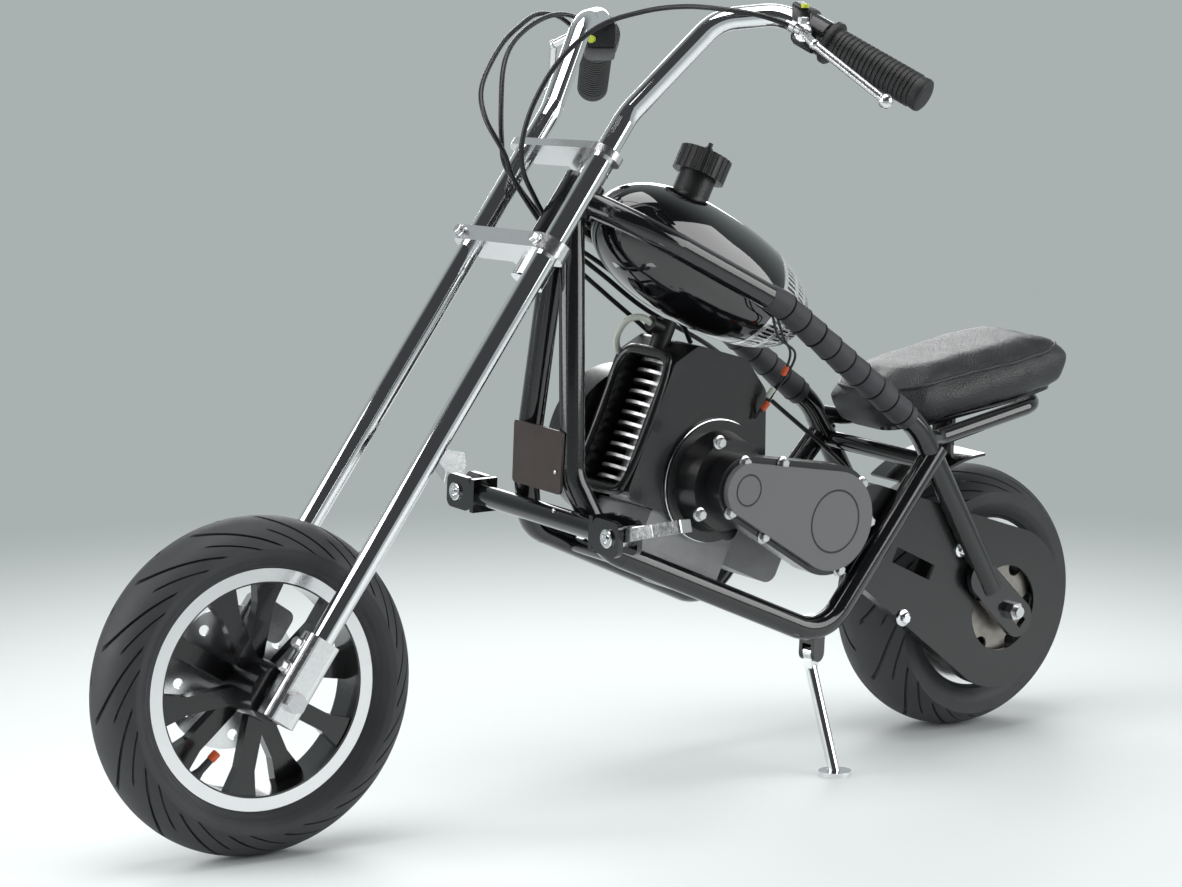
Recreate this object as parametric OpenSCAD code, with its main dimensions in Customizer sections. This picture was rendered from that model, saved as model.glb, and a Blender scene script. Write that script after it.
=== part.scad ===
// Mini motorcycle of the small chopper kind, parked leaning on its side stand.
// Upright it runs +X forward, +Y left, +Z up from the rear tyre's contact point.
// The stance module then leans the whole machine and centres it on the ground.

/* [Stance] */
// Distance between the two axles with the steering straight
wheelbase = 896; // [880:1:915]
// Angle of the steering axis from the vertical
rake = 35; // [33:0.5:37]
// Distance from the steering axis forward to the line of the fork legs
steer_offset = 35; // [32:1:38]
// Lean to the left when parked
lean = 4.35; // [3.5:0.05:5]
// Steering angle when parked, negative to the right
steer_rest = -6.3; // [-10:0.1:0]

/* [Front wheel] */
// Outer radius of the front tyre
front_tyre_r = 158.75; // [150:0.25:165]
// Half the width of the front tyre
front_tyre_hw = 35; // [30:0.5:38]
// Outer radius of the front rim's lip
front_lip_r = 112; // [105:0.5:116]
// Half the distance between the front rim's outer faces
front_rim_hw = 21; // [18:0.5:24]
// Radius of the front hub
front_hub_r = 27; // [24:0.5:32]
// Number of spokes on each side of the front wheel
front_spokes = 5; // [4:1:7]

/* [Rear wheel] */
// Outer radius of the rear tyre
rear_tyre_r = 145; // [140:0.5:148]
// Half the width of the rear tyre
rear_tyre_hw = 53; // [48:0.5:55]
// Outer radius of the rear rim's lip
rear_lip_r = 92; // [88:0.5:96]
// Half the distance between the rear rim's outer faces
rear_rim_hw = 42; // [38:0.5:44]
// Radius of the rear hub
rear_hub_r = 30; // [26:0.5:34]
// Outer radius of the rear sprocket
sprocket_r = 70; // [62:0.5:74]
// Outer radius of the brake discs
disc_r = 68; // [60:0.5:74]

/* [Fork and bars] */
// Radius of the fork legs
leg_r = 11; // [9.5:0.5:12]
// Distance of each leg from the middle plane
leg_y = 69; // [66:0.5:74]
// Distance of the lower clamp from the front axle along the legs
low_clamp_t = 484; // [470:1:490]
// Distance of the upper clamp from the front axle along the legs
top_clamp_t = 590; // [580:1:605]
// Radius of the handlebar tube
bar_r = 11; // [10:0.1:11]
// Height of the bars' top bend over the upper clamp
bar_rise = 126; // [110:1:140]
// Distance that the grips lie behind the upper clamp
bar_pull = 210; // [180:1:230]
// Half the width over the grip ends
bar_hw = 280; // [265:1:300]
// Radius of the grips
grip_r = 16.5; // [15:0.5:18]

/* [Frame] */
// Radius of the main frame tubes
tube_r = 12.5; // [11:0.5:13.5]
// Distance of the main tubes from the middle plane at the seat
main_y = 84; // [82:0.5:88]
// Height of the main tubes' rear bend
main_bend_z = 356; // [345:1:365]
// Lowest height of the lower rails' middle line
rail_low_z = 152; // [148:1:165]
// Distance of the lower rails from the middle plane at their rear bend
rail_y = 95; // [92:0.5:98]
// Outer radius of the head tube
head_r = 21; // [19:0.5:23]
// Thickness of the tape wrapped on the main tubes
wrap_t = 1.2; // [0.6:0.1:2]

/* [Seat and tank] */
// Length of the seat cushion
seat_len = 285; // [260:1:300]
// Half the width of the seat cushion
seat_hw = 74; // [68:0.5:78]
// Thickness of the seat cushion
seat_t = 52; // [45:0.5:58]
// Largest radius of the fuel tank
tank_r = 60; // [56:0.5:61]
// Length of the fuel tank
tank_len = 293; // [270:1:295]
// Radius of the filler cap
cap_r = 27; // [24:0.5:30]

/* [Engine] */
// Half the width of the engine's shroud
shroud_hw = 46; // [44:0.5:48]
// Number of cooling fins
fins = 13; // [10:1:15]
// Radius of the round clutch housing's flange
clutch_r = 62; // [58:0.5:64]
// Distance from the crankshaft to the gearbox's output shaft
gear_reach = 125; // [120:0.5:128]
// Radius of the starter housing
starter_r = 80; // [74:0.5:84]

/* [Hidden] */
$fn = 64;
cut = 1;
run_gap = 0.3;
side_gap = 0.6;

// Directions of the steering axis: up along it, and square to it forward
steer_u = [-sin(rake), 0, cos(rake)];
steer_n = [cos(rake), 0, sin(rake)];

// Heights at which the leaning tyres just meet the ground
front_crown_share = 1.043;
rear_crown_share = 1.45;
front_crown_r = front_crown_share * front_tyre_hw;
rear_crown_r = rear_crown_share * rear_tyre_hw;
rear_axle_z = rear_tyre_r - rear_crown_r + rear_crown_r / cos(lean);
steer_side = steer_offset * sin(steer_rest);
steer_drop = steer_offset * sin(rake) * (1 - cos(steer_rest));
wheel_tip = sin(rake) * -sin(steer_rest) * cos(lean) - cos(steer_rest) * sin(lean);
front_stand_h = (front_tyre_r - front_crown_r) * sqrt(1 - wheel_tip * wheel_tip) + front_crown_r;
front_axle_z = (front_stand_h + steer_side * sin(lean)) / cos(lean) + steer_drop;
rear_axle = [0, 0, rear_axle_z];
front_axle = [wheelbase, 0, front_axle_z];

// Shift that puts the origin under the middle of the machine's box
lean_shift_share = 0.0713;
origin_x = (wheelbase + front_tyre_r - rear_tyre_r) / 2;
origin_y = lean_shift_share * wheelbase;

// Points on the steering axis and on the fork legs, by their distance from the axle
function on_axis(t) = front_axle - steer_offset * steer_n + t * steer_u;
function on_leg(t, side) = front_axle + t * steer_u + [0, side * leg_y, 0];
function unit(v) = v / norm(v);
function flip(p, side) = [p[0], side * p[1], p[2]];
function flip_all(pts, side) = [for (p = pts) flip(p, side)];

// Places the upright machine in its parked stance
module stance() {
    translate([-origin_x, -origin_y, 0]) rotate([-lean, 0, 0]) children();
}

// Turns the steered parts about the steering axis to their parked angle
module steered() {
    stance() translate(on_axis(0)) rotate(a = steer_rest, v = steer_u) translate(-on_axis(0)) children();
}

// Local frame of the fork: +Z up the steering axis, +X forward, at a distance from the axle
module at_fork(t) {
    translate(front_axle + t * steer_u) rotate([0, -rake, 0]) children();
}

// Turns a solid of height h that is drawn flat so that it stands in X and Z, its right face at y
module turned_xz(y, h) {
    translate([0, y + h, 0]) rotate([90, 0, 0]) children();
}
module flat_xz(y, h) {
    turned_xz(y, h) linear_extrude(h) children();
}

// Round bar from one point to another
module rod(a, b, r) {
    d = b - a;
    translate(a) rotate([0, acos(d[2] / norm(d)), atan2(d[1], d[0])]) cylinder(r = r, h = norm(d));
}

// Length that a bend of radius r at corner i takes from each of its legs
function bend_trim(pts, i, r) =
    i == 0 || i == len(pts) - 1 ? 0 :
    let (a = unit(pts[i] - pts[i - 1]), b = unit(pts[i + 1] - pts[i])) r * tan(acos(a * b) / 2);

// Bent round tube along corner points, each corner rounded to the bend radius.
// Bending thins a tube slightly, so each straight laps over the start of its bends.
bend_thinning = 0.15;
bend_lap = 1.5;
module bent_tube(pts, r, bend_r) {
    last = len(pts) - 1;
    for (i = [0 : last - 1]) {
        d = unit(pts[i + 1] - pts[i]);
        from = i == 0 ? 0 : bend_trim(pts, i, bend_r) - bend_lap;
        to = i == last - 1 ? 0 : bend_trim(pts, i + 1, bend_r) - bend_lap;
        rod(pts[i] + from * d, pts[i + 1] - to * d, r);
    }
    for (i = [1 : last - 1]) {
        a = unit(pts[i] - pts[i - 1]);
        b = unit(pts[i + 1] - pts[i]);
        k = unit(cross(a, b));
        ex = -cross(k, a);
        c = pts[i] - bend_trim(pts, i, bend_r) * a - bend_r * ex;
        multmatrix([[ex[0], a[0], k[0], c[0]], [ex[1], a[1], k[1], c[1]], [ex[2], a[2], k[2], c[2]]])
            rotate_extrude(angle = acos(a * b)) translate([bend_r, 0]) circle(r - bend_thinning);
    }
}

// Corner points of an outline, each rounded by an arc of radius r
corner_steps = 6;
function rounded(pts, r) = [
    for (i = [0 : len(pts) - 1])
        let (p = pts[i], a = unit(pts[(i + len(pts) - 1) % len(pts)] - p), b = unit(pts[(i + 1) % len(pts)] - p),
            half = acos(a * b) / 2, c = p + r / sin(half) * unit(a + b),
            from = p + r / tan(half) * a - c, to = p + r / tan(half) * b - c, sweep = 180 - 2 * half,
            turn = (from[0] * to[1] - from[1] * to[0]) > 0 ? 1 : -1)
        for (s = [0 : corner_steps])
            let (w = turn * sweep * s / corner_steps)
            c + [from[0] * cos(w) - from[1] * sin(w), from[0] * sin(w) + from[1] * cos(w)]
];

// Rectangle with rounded corners, centred
module round_rect(w, h, r) {
    polygon(rounded([[-w / 2, -h / 2], [w / 2, -h / 2], [w / 2, h / 2], [-w / 2, h / 2]], r));
}

// Plate of height h with the outline of a belt round two circles, its sides set in by a hair
belt_inset = 0.1;
module belt(a, ra, b, rb, h) {
    d = b - a;
    base = atan2(d[1], d[0]);
    off = acos((ra - rb) / norm(d));
    function rim(c, r, w) = c + (r - belt_inset) * [cos(w), sin(w)];
    translate(a) cylinder(r = ra, h = h);
    translate(b) cylinder(r = rb, h = h);
    linear_extrude(h)
        polygon([rim(a, ra, base + off), rim(b, rb, base + off), rim(b, rb, base - off), rim(a, ra, base - off)]);
}

// Head tube and the tubes that meet it
race_h = 24;
crown_h = 10;
head_low_t = low_clamp_t + race_h;
head_top_t = top_clamp_t - crown_h;
stem_r = 13;
module head_tube() {
    color("black") stance() difference() {
        rod(on_axis(head_low_t), on_axis(head_top_t), head_r);
        rod(on_axis(head_low_t - cut), on_axis(head_top_t + cut), stem_r + run_gap);
    }
}
module head_room() {
    rod(on_axis(head_low_t - tube_r * 2), on_axis(head_top_t + tube_r * 2), head_r);
}

// Everything across the middle plane from one side, to mitre paired tubes
module other_side(side) {
    translate([0, side > 0 ? -wheelbase : 0, 0]) cube(wheelbase);
}

// Main tubes: corner places as shares of the wheelbase, of main_y and of the head's height
head_mid = on_axis((head_low_t + 3 * head_top_t) / 4);
main_shares = [[0.564, 0.75, 0.958], [0.385, 0.98, 0.826]];
main_bend_x_share = 0.167;
drop_end_shares = [0.033, 0.192];
main_bend_r = 90;
drop_y = main_y + 2;
main_end = [drop_end_shares[0] * wheelbase, drop_y, drop_end_shares[1] * wheelbase];
main_pts = concat([head_mid],
    [for (s = main_shares) [s[0] * wheelbase, s[1] * main_y, s[2] * head_mid[2]]],
    [[main_bend_x_share * wheelbase, main_y, main_bend_z], main_end]);
module main_tube(side) {
    color("black") stance() difference() {
        bent_tube(flip_all(main_pts, side), tube_r, main_bend_r);
        head_room();
        other_side(side);
    }
}

// Tape round the straight stretch between the tank and the seat
wrap_from_share = 0.06;
wrap_to_share = 0.8;
module tube_wraps() {
    a = main_pts[2];
    b = main_pts[3];
    color("dimgray") stance() for (side = [-1, 1]) difference() {
        rod(flip(a + wrap_from_share * (b - a) + bend_trim(main_pts, 2, main_bend_r) * unit(b - a), side),
            flip(a + wrap_to_share * (b - a), side), tube_r + wrap_t);
        rod(flip(a, side), flip(b, side), tube_r);
    }
}

// Lower rails: down from the head, back under the engine and up to the main tubes
rail_top_share = 0.45;
rail_top_y = 10;
rail_top = on_axis(head_low_t + rail_top_share * (head_top_t - head_low_t)) + [0, rail_top_y, 0];
rail_shares = [[0.632, 0.4, 0.555], [0.603, 0.65, 0.44]];
rail_low_x_share = 0.3125;
rail_end_shares = [0.138, 0.9, 0.372];
rail_bend_r = 48;
rail_pts = concat([rail_top],
    [for (s = rail_shares) [s[0] * wheelbase, s[1] * rail_y, s[2] * head_mid[2]]],
    [[rail_low_x_share * wheelbase, rail_y, rail_low_z],
    [rail_end_shares[0] * wheelbase, rail_end_shares[1] * rail_y, rail_end_shares[2] * wheelbase]]);
module lower_rail(side) {
    color("black") stance() difference() {
        bent_tube(flip_all(rail_pts, side), tube_r, rail_bend_r);
        head_room();
        other_side(side);
        main_cope(side);
    }
}

// Straight stretches of the main tubes and lower rails behind the engine, to cope what meets them
module main_cope(side) {
    for (i = [2 : 3]) rod(flip(main_pts[i], side), flip(main_pts[i + 1], side), tube_r);
}
module rail_cope(side) {
    for (i = [1 : 3]) rod(flip(rail_pts[i], side), flip(rail_pts[i + 1], side), tube_r);
}

// Point on the straight lower rail under the engine, at a share of the way back
function on_rail(share, side) = flip(rail_pts[2] + share * (rail_pts[3] - rail_pts[2]), side);

// Cross tube that joins the main tubes under the front of the seat
cross_r = 9;
cross_share = 0.22;
cross_at = main_pts[3] + cross_share * (main_pts[4] - main_pts[3]);
module seat_cross_tube() {
    color("black") stance() difference() {
        rod(flip(cross_at, -1), cross_at, cross_r);
        for (side = [-1, 1]) {
            main_cope(side);
            rail_cope(side);
        }
    }
}

// Crossbar in front of the down tubes, with a fork at each end for a folding peg
peg_bar_r = 11;
peg_bar_hw = 100;
peg_bar_share = 0.6;
peg_fork_len = 40;
peg_fork_h = 34;
peg_fork_t = 6;
peg_fork_corner = 8;
peg_pin_r = 4;
peg_shank_w = 16;
peg_bar_at = rail_pts[1] + peg_bar_share * (rail_pts[2] - rail_pts[1]) + [tube_r + peg_bar_r - cut, 0, 0];
peg_pin_share = 0.6;
peg_pin_out = peg_bar_hw + peg_pin_share * peg_fork_len;
peg_pin_at = [peg_bar_at[0], peg_pin_out, peg_bar_at[2]];
module peg_crossbar() {
    color("black") stance() difference() {
        union() {
            rod([peg_bar_at[0], -peg_bar_hw, peg_bar_at[2]],
                [peg_bar_at[0], peg_bar_hw, peg_bar_at[2]], peg_bar_r);
            for (side = [-1, 1]) translate([peg_bar_at[0], side * (peg_bar_hw + peg_fork_len / 2), peg_bar_at[2]])
                for (end = [-1, 1]) translate([end * (peg_shank_w / 2 + side_gap), 0, 0])
                    rotate([90, 0, 90]) mirror([0, 0, end < 0 ? 1 : 0])
                        linear_extrude(peg_fork_t) round_rect(peg_fork_len, peg_fork_h, peg_fork_corner);
            for (side = [-1, 1]) translate([peg_bar_at[0], side * (peg_bar_hw - peg_fork_t / 2), peg_bar_at[2]])
                cube([peg_shank_w + 2 * (side_gap + peg_fork_t), peg_fork_t, peg_fork_h], center = true);
            for (side = [-1, 1]) rod([peg_bar_at[0] - peg_shank_w, side * peg_pin_out, peg_bar_at[2]],
                [peg_bar_at[0] + peg_shank_w, side * peg_pin_out, peg_bar_at[2]], peg_pin_r);
        }
        for (side = [-1, 1]) rail_cope(side);
    }
}

// Flat shield plate across the down tubes
plate_w = 78;
plate_h = 62;
plate_t = 3;
plate_corner = 4;
plate_share = 0.06;
plate_mid = rail_pts[1] - plate_share * (rail_pts[1] - rail_pts[0]);
module front_plate() {
    color([0.16, 0.13, 0.12]) stance() translate([plate_mid[0] + tube_r, 0, plate_mid[2]])
        rotate([90, 0, 90]) linear_extrude(plate_t) round_rect(plate_w, plate_h, plate_corner);
}

// Engine frame: +X along the lower rails forward and up, +Z up the cylinder, origin on the crankshaft
crank_h = 105;
crank_share = 0.397;
rail_run = rail_pts[2] - rail_pts[3];
engine_tilt = atan2(rail_run[2], rail_run[0]);
rail_under = on_rail(crank_share, 1);
crank = [rail_under[0] - crank_h * sin(engine_tilt), 0, rail_under[2] + crank_h * cos(engine_tilt)];
module at_engine() {
    stance() translate(crank) rotate([0, -engine_tilt, 0]) children();
}

// Base plate and two cross tubes that carry the crankcase between the lower rails
mount_t = 5;
mount_hw = 46;
case_front = 58;
case_back = 56;
strap_r = 8;
strap_shares = [0.22, 0.62];
mount_z = strap_r - crank_h;
module engine_mounts() {
    color("black") {
        at_engine() translate([-case_back, -mount_hw, mount_z])
            cube([case_back + case_front, 2 * mount_hw, mount_t]);
        stance() for (share = strap_shares) difference() {
            rod(on_rail(share, -1), on_rail(share, 1), strap_r);
            for (side = [-1, 1]) rail_cope(side);
        }
    }
}

// Crankcase: a heavy block low down and behind the cylinder
case_hw = 42;
case_corner = 8;
sump_top = -50;
case_top = 88;
barrel_back = -8;
module crankcase() {
    low = mount_z + mount_t;
    color("dimgray") at_engine() flat_xz(-case_hw, 2 * case_hw)
        polygon(rounded([[case_front, sump_top], [-case_back, sump_top], [-case_back, low], [case_front, low]],
            case_corner / 2));
    color("dimgray") at_engine() flat_xz(-case_hw, 2 * case_hw)
        polygon([[-case_back, sump_top], [barrel_back, sump_top], [barrel_back, case_top],
            [shroud_shares[3][0] * shroud_front + case_corner, case_top],
            [-case_back, shroud_shares[4][1] * shroud_crown - case_corner]]);
}

// Cylinder: a barrel with round cooling fins, flattened at the sides to fit in the shroud
barrel_x = 41;
barrel_r = 30;
fin_r = 48;
fin_t = 3.2;
fin_low = -46;
fin_top = 92;
fin_pitch = (fin_top - fin_low - fin_t) / (fins - 1);
module cylinder_barrel() {
    color("silver") at_engine() intersection() {
        union() {
            translate([barrel_x, 0, sump_top]) cylinder(r = barrel_r, h = fin_top - sump_top);
            for (i = [0 : fins - 1])
                translate([barrel_x, 0, fin_low + i * fin_pitch]) cylinder(r = fin_r, h = fin_t);
        }
        translate([barrel_back, -case_hw, sump_top])
            cube([2 * fin_r + case_back, 2 * case_hw, fin_top - sump_top]);
    }
}

// Shroud: a shell over the cylinder, open in front so that the fins show
shroud_wall = 4;
shroud_front = 98;
shroud_back = 56;
shroud_low = -50;
shroud_corner = 12;
grille_hw = 34;
grille_y = 3;
grille_low = -42;
grille_top = 92;
grille_corner = 16;
// Side outline of the shroud as shares of its front, back and crown heights
shroud_crown = 126;
shroud_shares = [[1, 0.72], [0.78, 0.93], [0.13, 1], [-0.27, 0.84], [-0.57, 0.36]];
function shroud_outline(inset) = concat([[-shroud_back + inset, shroud_low], [shroud_front - inset, shroud_low]],
    [for (s = shroud_shares) [s[0] * (shroud_front - inset), s[1] * (shroud_crown - inset)]]);
module engine_shroud() {
    color("black") at_engine() difference() {
        flat_xz(-shroud_hw, 2 * shroud_hw) polygon(rounded(shroud_outline(0), shroud_corner));
        translate([0, 0, -cut]) flat_xz(-case_hw, 2 * case_hw)
            polygon(rounded(shroud_outline(shroud_wall), shroud_corner));
        translate([-shroud_back - cut, -case_hw, shroud_low - cut])
            cube([shroud_front + shroud_back - shroud_wall, 2 * case_hw, case_top - shroud_low]);
        translate([shroud_front - 2 * shroud_wall, grille_y, (grille_low + grille_top) / 2]) rotate([90, 0, 90])
            linear_extrude(3 * shroud_wall) round_rect(2 * grille_hw, grille_top - grille_low, grille_corner);
    }
}

// Spark plug cap on the crown of the shroud
plug_x = 88;
plug_r = 10;
plug_h = 7;
plug_lead_r = 4;
module spark_plug_cap() {
    color("black") at_engine() difference() {
        translate([plug_x, 0, 0]) {
            cylinder(r = plug_r, h = shroud_crown + plug_h);
            translate([0, 0, shroud_crown + plug_h - plug_r]) rotate([0, 90, 0])
                cylinder(r = plug_r - plug_lead_r / 2, h = 2 * plug_r);
        }
        flat_xz(-shroud_hw - cut, 2 * (shroud_hw + cut)) polygon(rounded(shroud_outline(0), shroud_corner));
    }
}

// Starter housing on the right of the engine, with a ring of vents and a raised middle
starter_x = 40;
starter_z = 8;
starter_w = 34;
starter_drum_r = 52;
starter_drum_w = 16;
starter_vents = 18;
vent_w = 7;
vent_h = 20;
module starter_housing() {
    color("black") at_engine() translate([starter_x, -shroud_hw, starter_z]) rotate([90, 0, 0]) difference() {
        union() {
            cylinder(r = starter_r, h = starter_w);
            translate([0, 0, starter_w]) cylinder(r = starter_drum_r, h = starter_drum_w);
        }
        for (i = [0 : starter_vents - 1]) rotate(360 / starter_vents * i)
            translate([(starter_r + starter_drum_r - vent_h) / 2, -vent_w / 2, starter_w / 2])
                cube([vent_h, vent_w, starter_w]);
    }
}

// Pull handle at the back of the starter drum
handle_len = 42;
handle_r = 7;
module starter_handle() {
    drum_mid = -shroud_hw - starter_w - starter_drum_w / 2;
    color("black") at_engine() translate([starter_x - starter_drum_r, drum_mid, starter_z]) {
        rotate([0, -90, 0]) cylinder(r = handle_r / 2, h = handle_r);
        translate([-2 * handle_r + cut, 0, -handle_len / 2]) cylinder(r = handle_r, h = handle_len);
    }
}

// Clutch housing: a round flange and a bell on the left of the engine
clutch_flange_t = 6;
clutch_bell_r = 52;
clutch_y = shroud_hw + clutch_flange_t;
gear_y = 74;
module clutch_housing() {
    color("black") at_engine() translate([0, shroud_hw, 0]) rotate([-90, 0, 0]) {
        cylinder(r = clutch_r, h = clutch_flange_t);
        translate([0, 0, clutch_flange_t])
            cylinder(r1 = clutch_bell_r, r2 = clutch_bell_r - clutch_flange_t, h = gear_y - clutch_y);
    }
}

// Gearbox behind the clutch, with its cover: both are belts round the crank and output shafts
gear_lift = 7;
gear_out = [-gear_reach, gear_lift];
cover_small_r = 27;
cover_big_r = 51;
gear_rim = 6;
gear_w = 22;
cover_t = 7;
gear_shaft_r = 8;
module gearbox() {
    color("black") at_engine() {
        turned_xz(gear_y, gear_w)
            belt(gear_out, cover_big_r + gear_rim, [0, 0], cover_small_r + gear_rim, gear_w);
        translate([gear_out[0], gear_y, gear_out[1]]) rotate([90, 0, 0])
            cylinder(r = gear_shaft_r, h = gear_y - chain_y + chain_w / 2);
        translate([gear_out[0], chain_y - sprocket_t / 2, gear_out[1]]) rotate([-90, 0, 0])
            cylinder(r = drive_r, h = sprocket_t);
    }
}
module gearbox_cover() {
    color("gray") at_engine() turned_xz(gear_y + gear_w, cover_t)
        belt(gear_out, cover_big_r, [0, 0], cover_small_r, cover_t);
}

// Carburettor and air filter behind the engine on the right
carb_y = -22;
carb_z = 20;
carb_r = 15;
carb_len = 34;
filter_r = 27;
filter_w = 30;
module carburettor() {
    color("dimgray") at_engine() translate([-case_back, carb_y, carb_z]) rotate([0, -90, 0]) {
        cylinder(r = carb_r, h = carb_len);
        translate([0, 0, carb_len]) cylinder(r = filter_r, h = filter_w);
    }
}

// Muffler: a stamped box behind the crankcase, with its pipe from the engine
muffler_len = 96;
muffler_hw = 32;
muffler_h = 58;
muffler_corner = 14;
muffler_y = -30;
muffler_z = -42;
pipe_r = 9;
pipe_gap = 16;
tail_pipe_share = 0.6;
module muffler() {
    box_front = -case_back - pipe_gap;
    tail_x = box_front - muffler_len + 2 * muffler_corner;
    tail_y = muffler_y - muffler_hw;
    color("dimgray") at_engine() {
        translate([box_front - muffler_len / 2, muffler_y + muffler_hw, muffler_z]) rotate([90, 0, 0])
            linear_extrude(2 * muffler_hw) round_rect(muffler_len, muffler_h, muffler_corner);
        rod([-case_back, muffler_y, muffler_z], [box_front, muffler_y, muffler_z], pipe_r);
        rod([tail_x, tail_y, muffler_z], [tail_x, tail_y - pipe_gap, muffler_z - pipe_gap],
            tail_pipe_share * pipe_r);
    }
}

// Chain loop from the gearbox's sprocket to the rear one, with its guard
chain_y = 67;
chain_w = 7;
chain_t = 7;
sprocket_t = 4;
drive_r = 20;
chain_gap = 1;
drive_at = [crank[0] + gear_out[0] * cos(engine_tilt) - gear_out[1] * sin(engine_tilt),
    crank[2] + gear_out[0] * sin(engine_tilt) + gear_out[1] * cos(engine_tilt)];
rear_at = [rear_axle[0], rear_axle[2]];
module chain_belt(grow, w) {
    turned_xz(chain_y - w / 2, w)
        belt(rear_at, sprocket_r + chain_gap + grow, drive_at, drive_r + chain_gap + grow, w);
}
module chain() {
    color("dimgray") stance() difference() {
        chain_belt(chain_t, chain_w);
        chain_belt(0, chain_w + 2 * cut);
    }
}

// Chain guard: a dished cover with a round hole about the axle, cut where the main tube crosses it
guard_wall = 3;
guard_y = 74.5;
guard_depth = 13;
guard_room = 18;
guard_r = sprocket_r + guard_room;
guard_front_r = 50;
guard_front_share = 0.74;
guard_hole_r = 47;
guard_gear_gap = 5;
guard_slot_len = 62;
guard_slot_w = 17;
guard_slot_share = 0.5;
guard_lift_share = 0.2;
guard_front = rear_at + guard_front_share * (drive_at - rear_at) + [0, guard_lift_share * guard_front_r];
module guard_form(inset, y, h) {
    turned_xz(y, h) difference() {
        belt(rear_at, guard_r - inset, guard_front, guard_front_r - inset, h);
        translate([drive_at[0], drive_at[1], -cut])
            cylinder(r = cover_big_r + gear_rim + guard_gear_gap, h = h + 2 * cut);
    }
}
module chain_guard() {
    slot_dir = atan2(drive_at[1] - rear_at[1], drive_at[0] - rear_at[0]);
    color("black") stance() difference() {
        guard_form(0, guard_y - guard_depth, guard_depth + guard_wall);
        guard_form(guard_wall, guard_y - guard_depth - cut, guard_depth + cut);
        flat_xz(guard_y - cut, guard_wall + 2 * cut) translate(rear_at) circle(guard_hole_r);
        flat_xz(guard_y - cut, guard_wall + 2 * cut) translate(rear_at + guard_slot_share * (drive_at - rear_at))
            rotate(slot_dir) square([guard_slot_len, guard_slot_w], center = true);
        main_cope(1);
        rail_cope(1);
        chain_belt(chain_t + 2 * chain_gap, chain_w + 4 * chain_gap);
    }
}

// Dropout plates at the ends of the main tubes, slotted for the rear axle
drop_t = 7;
drop_w = 40;
drop_back = 34;
axle_r = 6;
slot_len = 26;
module dropouts() {
    tail = [main_end[0], main_end[2]];
    dir = unit(rear_at - tail);
    color("black") stance() for (side = [-1, 1]) difference() {
        turned_xz(side * drop_y - drop_t / 2, drop_t)
            belt(tail - drop_w / 2 * dir, drop_w / 2 - cut, rear_at + drop_back / 2 * dir, drop_w / 2, drop_t);
        flat_xz(side * drop_y - drop_t, 2 * drop_t) translate(rear_at) circle(axle_r);
        flat_xz(side * drop_y - drop_t, 2 * drop_t) translate(rear_at) rotate(atan2(dir[1], dir[0]))
            translate([0, -axle_r + belt_inset]) square([slot_len, 2 * (axle_r - belt_inset)]);
        main_cope(side);
    }
}

// Rear axle with its spacers and nuts
rear_hub_hw = 61;
nut_r = 10;
nut_t = 9;
spacer_r = 10;
axle_over = 14;
module rear_axle() {
    inner = drop_y - drop_t / 2;
    outer = drop_y + drop_t / 2;
    color("silver") stance() translate(rear_axle) rotate([90, 0, 0]) {
        cylinder(r = axle_r, h = 2 * (outer + axle_over), center = true);
        for (end = [0, 1]) mirror([0, 0, end]) {
            translate([0, 0, rear_hub_hw + side_gap]) cylinder(r = spacer_r, h = inner - rear_hub_hw - side_gap);
            translate([0, 0, outer]) cylinder(r = nut_r, h = nut_t, $fn = 6);
        }
    }
}

// Brake caliper: a block with a slot for the disc, drawn with the disc edge towards -Z
caliper_len = 44;
caliper_h = 34;
caliper_corner = 8;
caliper_in = 9;
caliper_out = 10;
caliper_lug = 3;
pad_gap = 2;
disc_t = 3;
module caliper_block(inner, outer) {
    difference() {
        translate([0, -inner, 0]) rotate([90, 0, 0]) linear_extrude(outer - inner)
            round_rect(caliper_len, caliper_h, caliper_corner);
        translate([-caliper_len, -disc_y - disc_t / 2 - pad_gap, -caliper_h])
            cube([2 * caliper_len, disc_t + 2 * pad_gap, caliper_h + caliper_h / 4]);
    }
}

// Rear caliper inside the right main tube, ahead of the rear axle
disc_y = 47;
rear_disc_y = rear_hub_hw + disc_t / 2;
rear_caliper_angle = 30;
module rear_caliper() {
    color("dimgray") stance() translate(rear_axle) difference() {
        rotate([0, rear_caliper_angle, 0]) translate([0, disc_y - rear_disc_y, disc_r - caliper_h / 8])
            caliper_block(disc_y - caliper_in, disc_y + caliper_out);
        translate(-rear_axle) main_cope(-1);
    }
}

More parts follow.
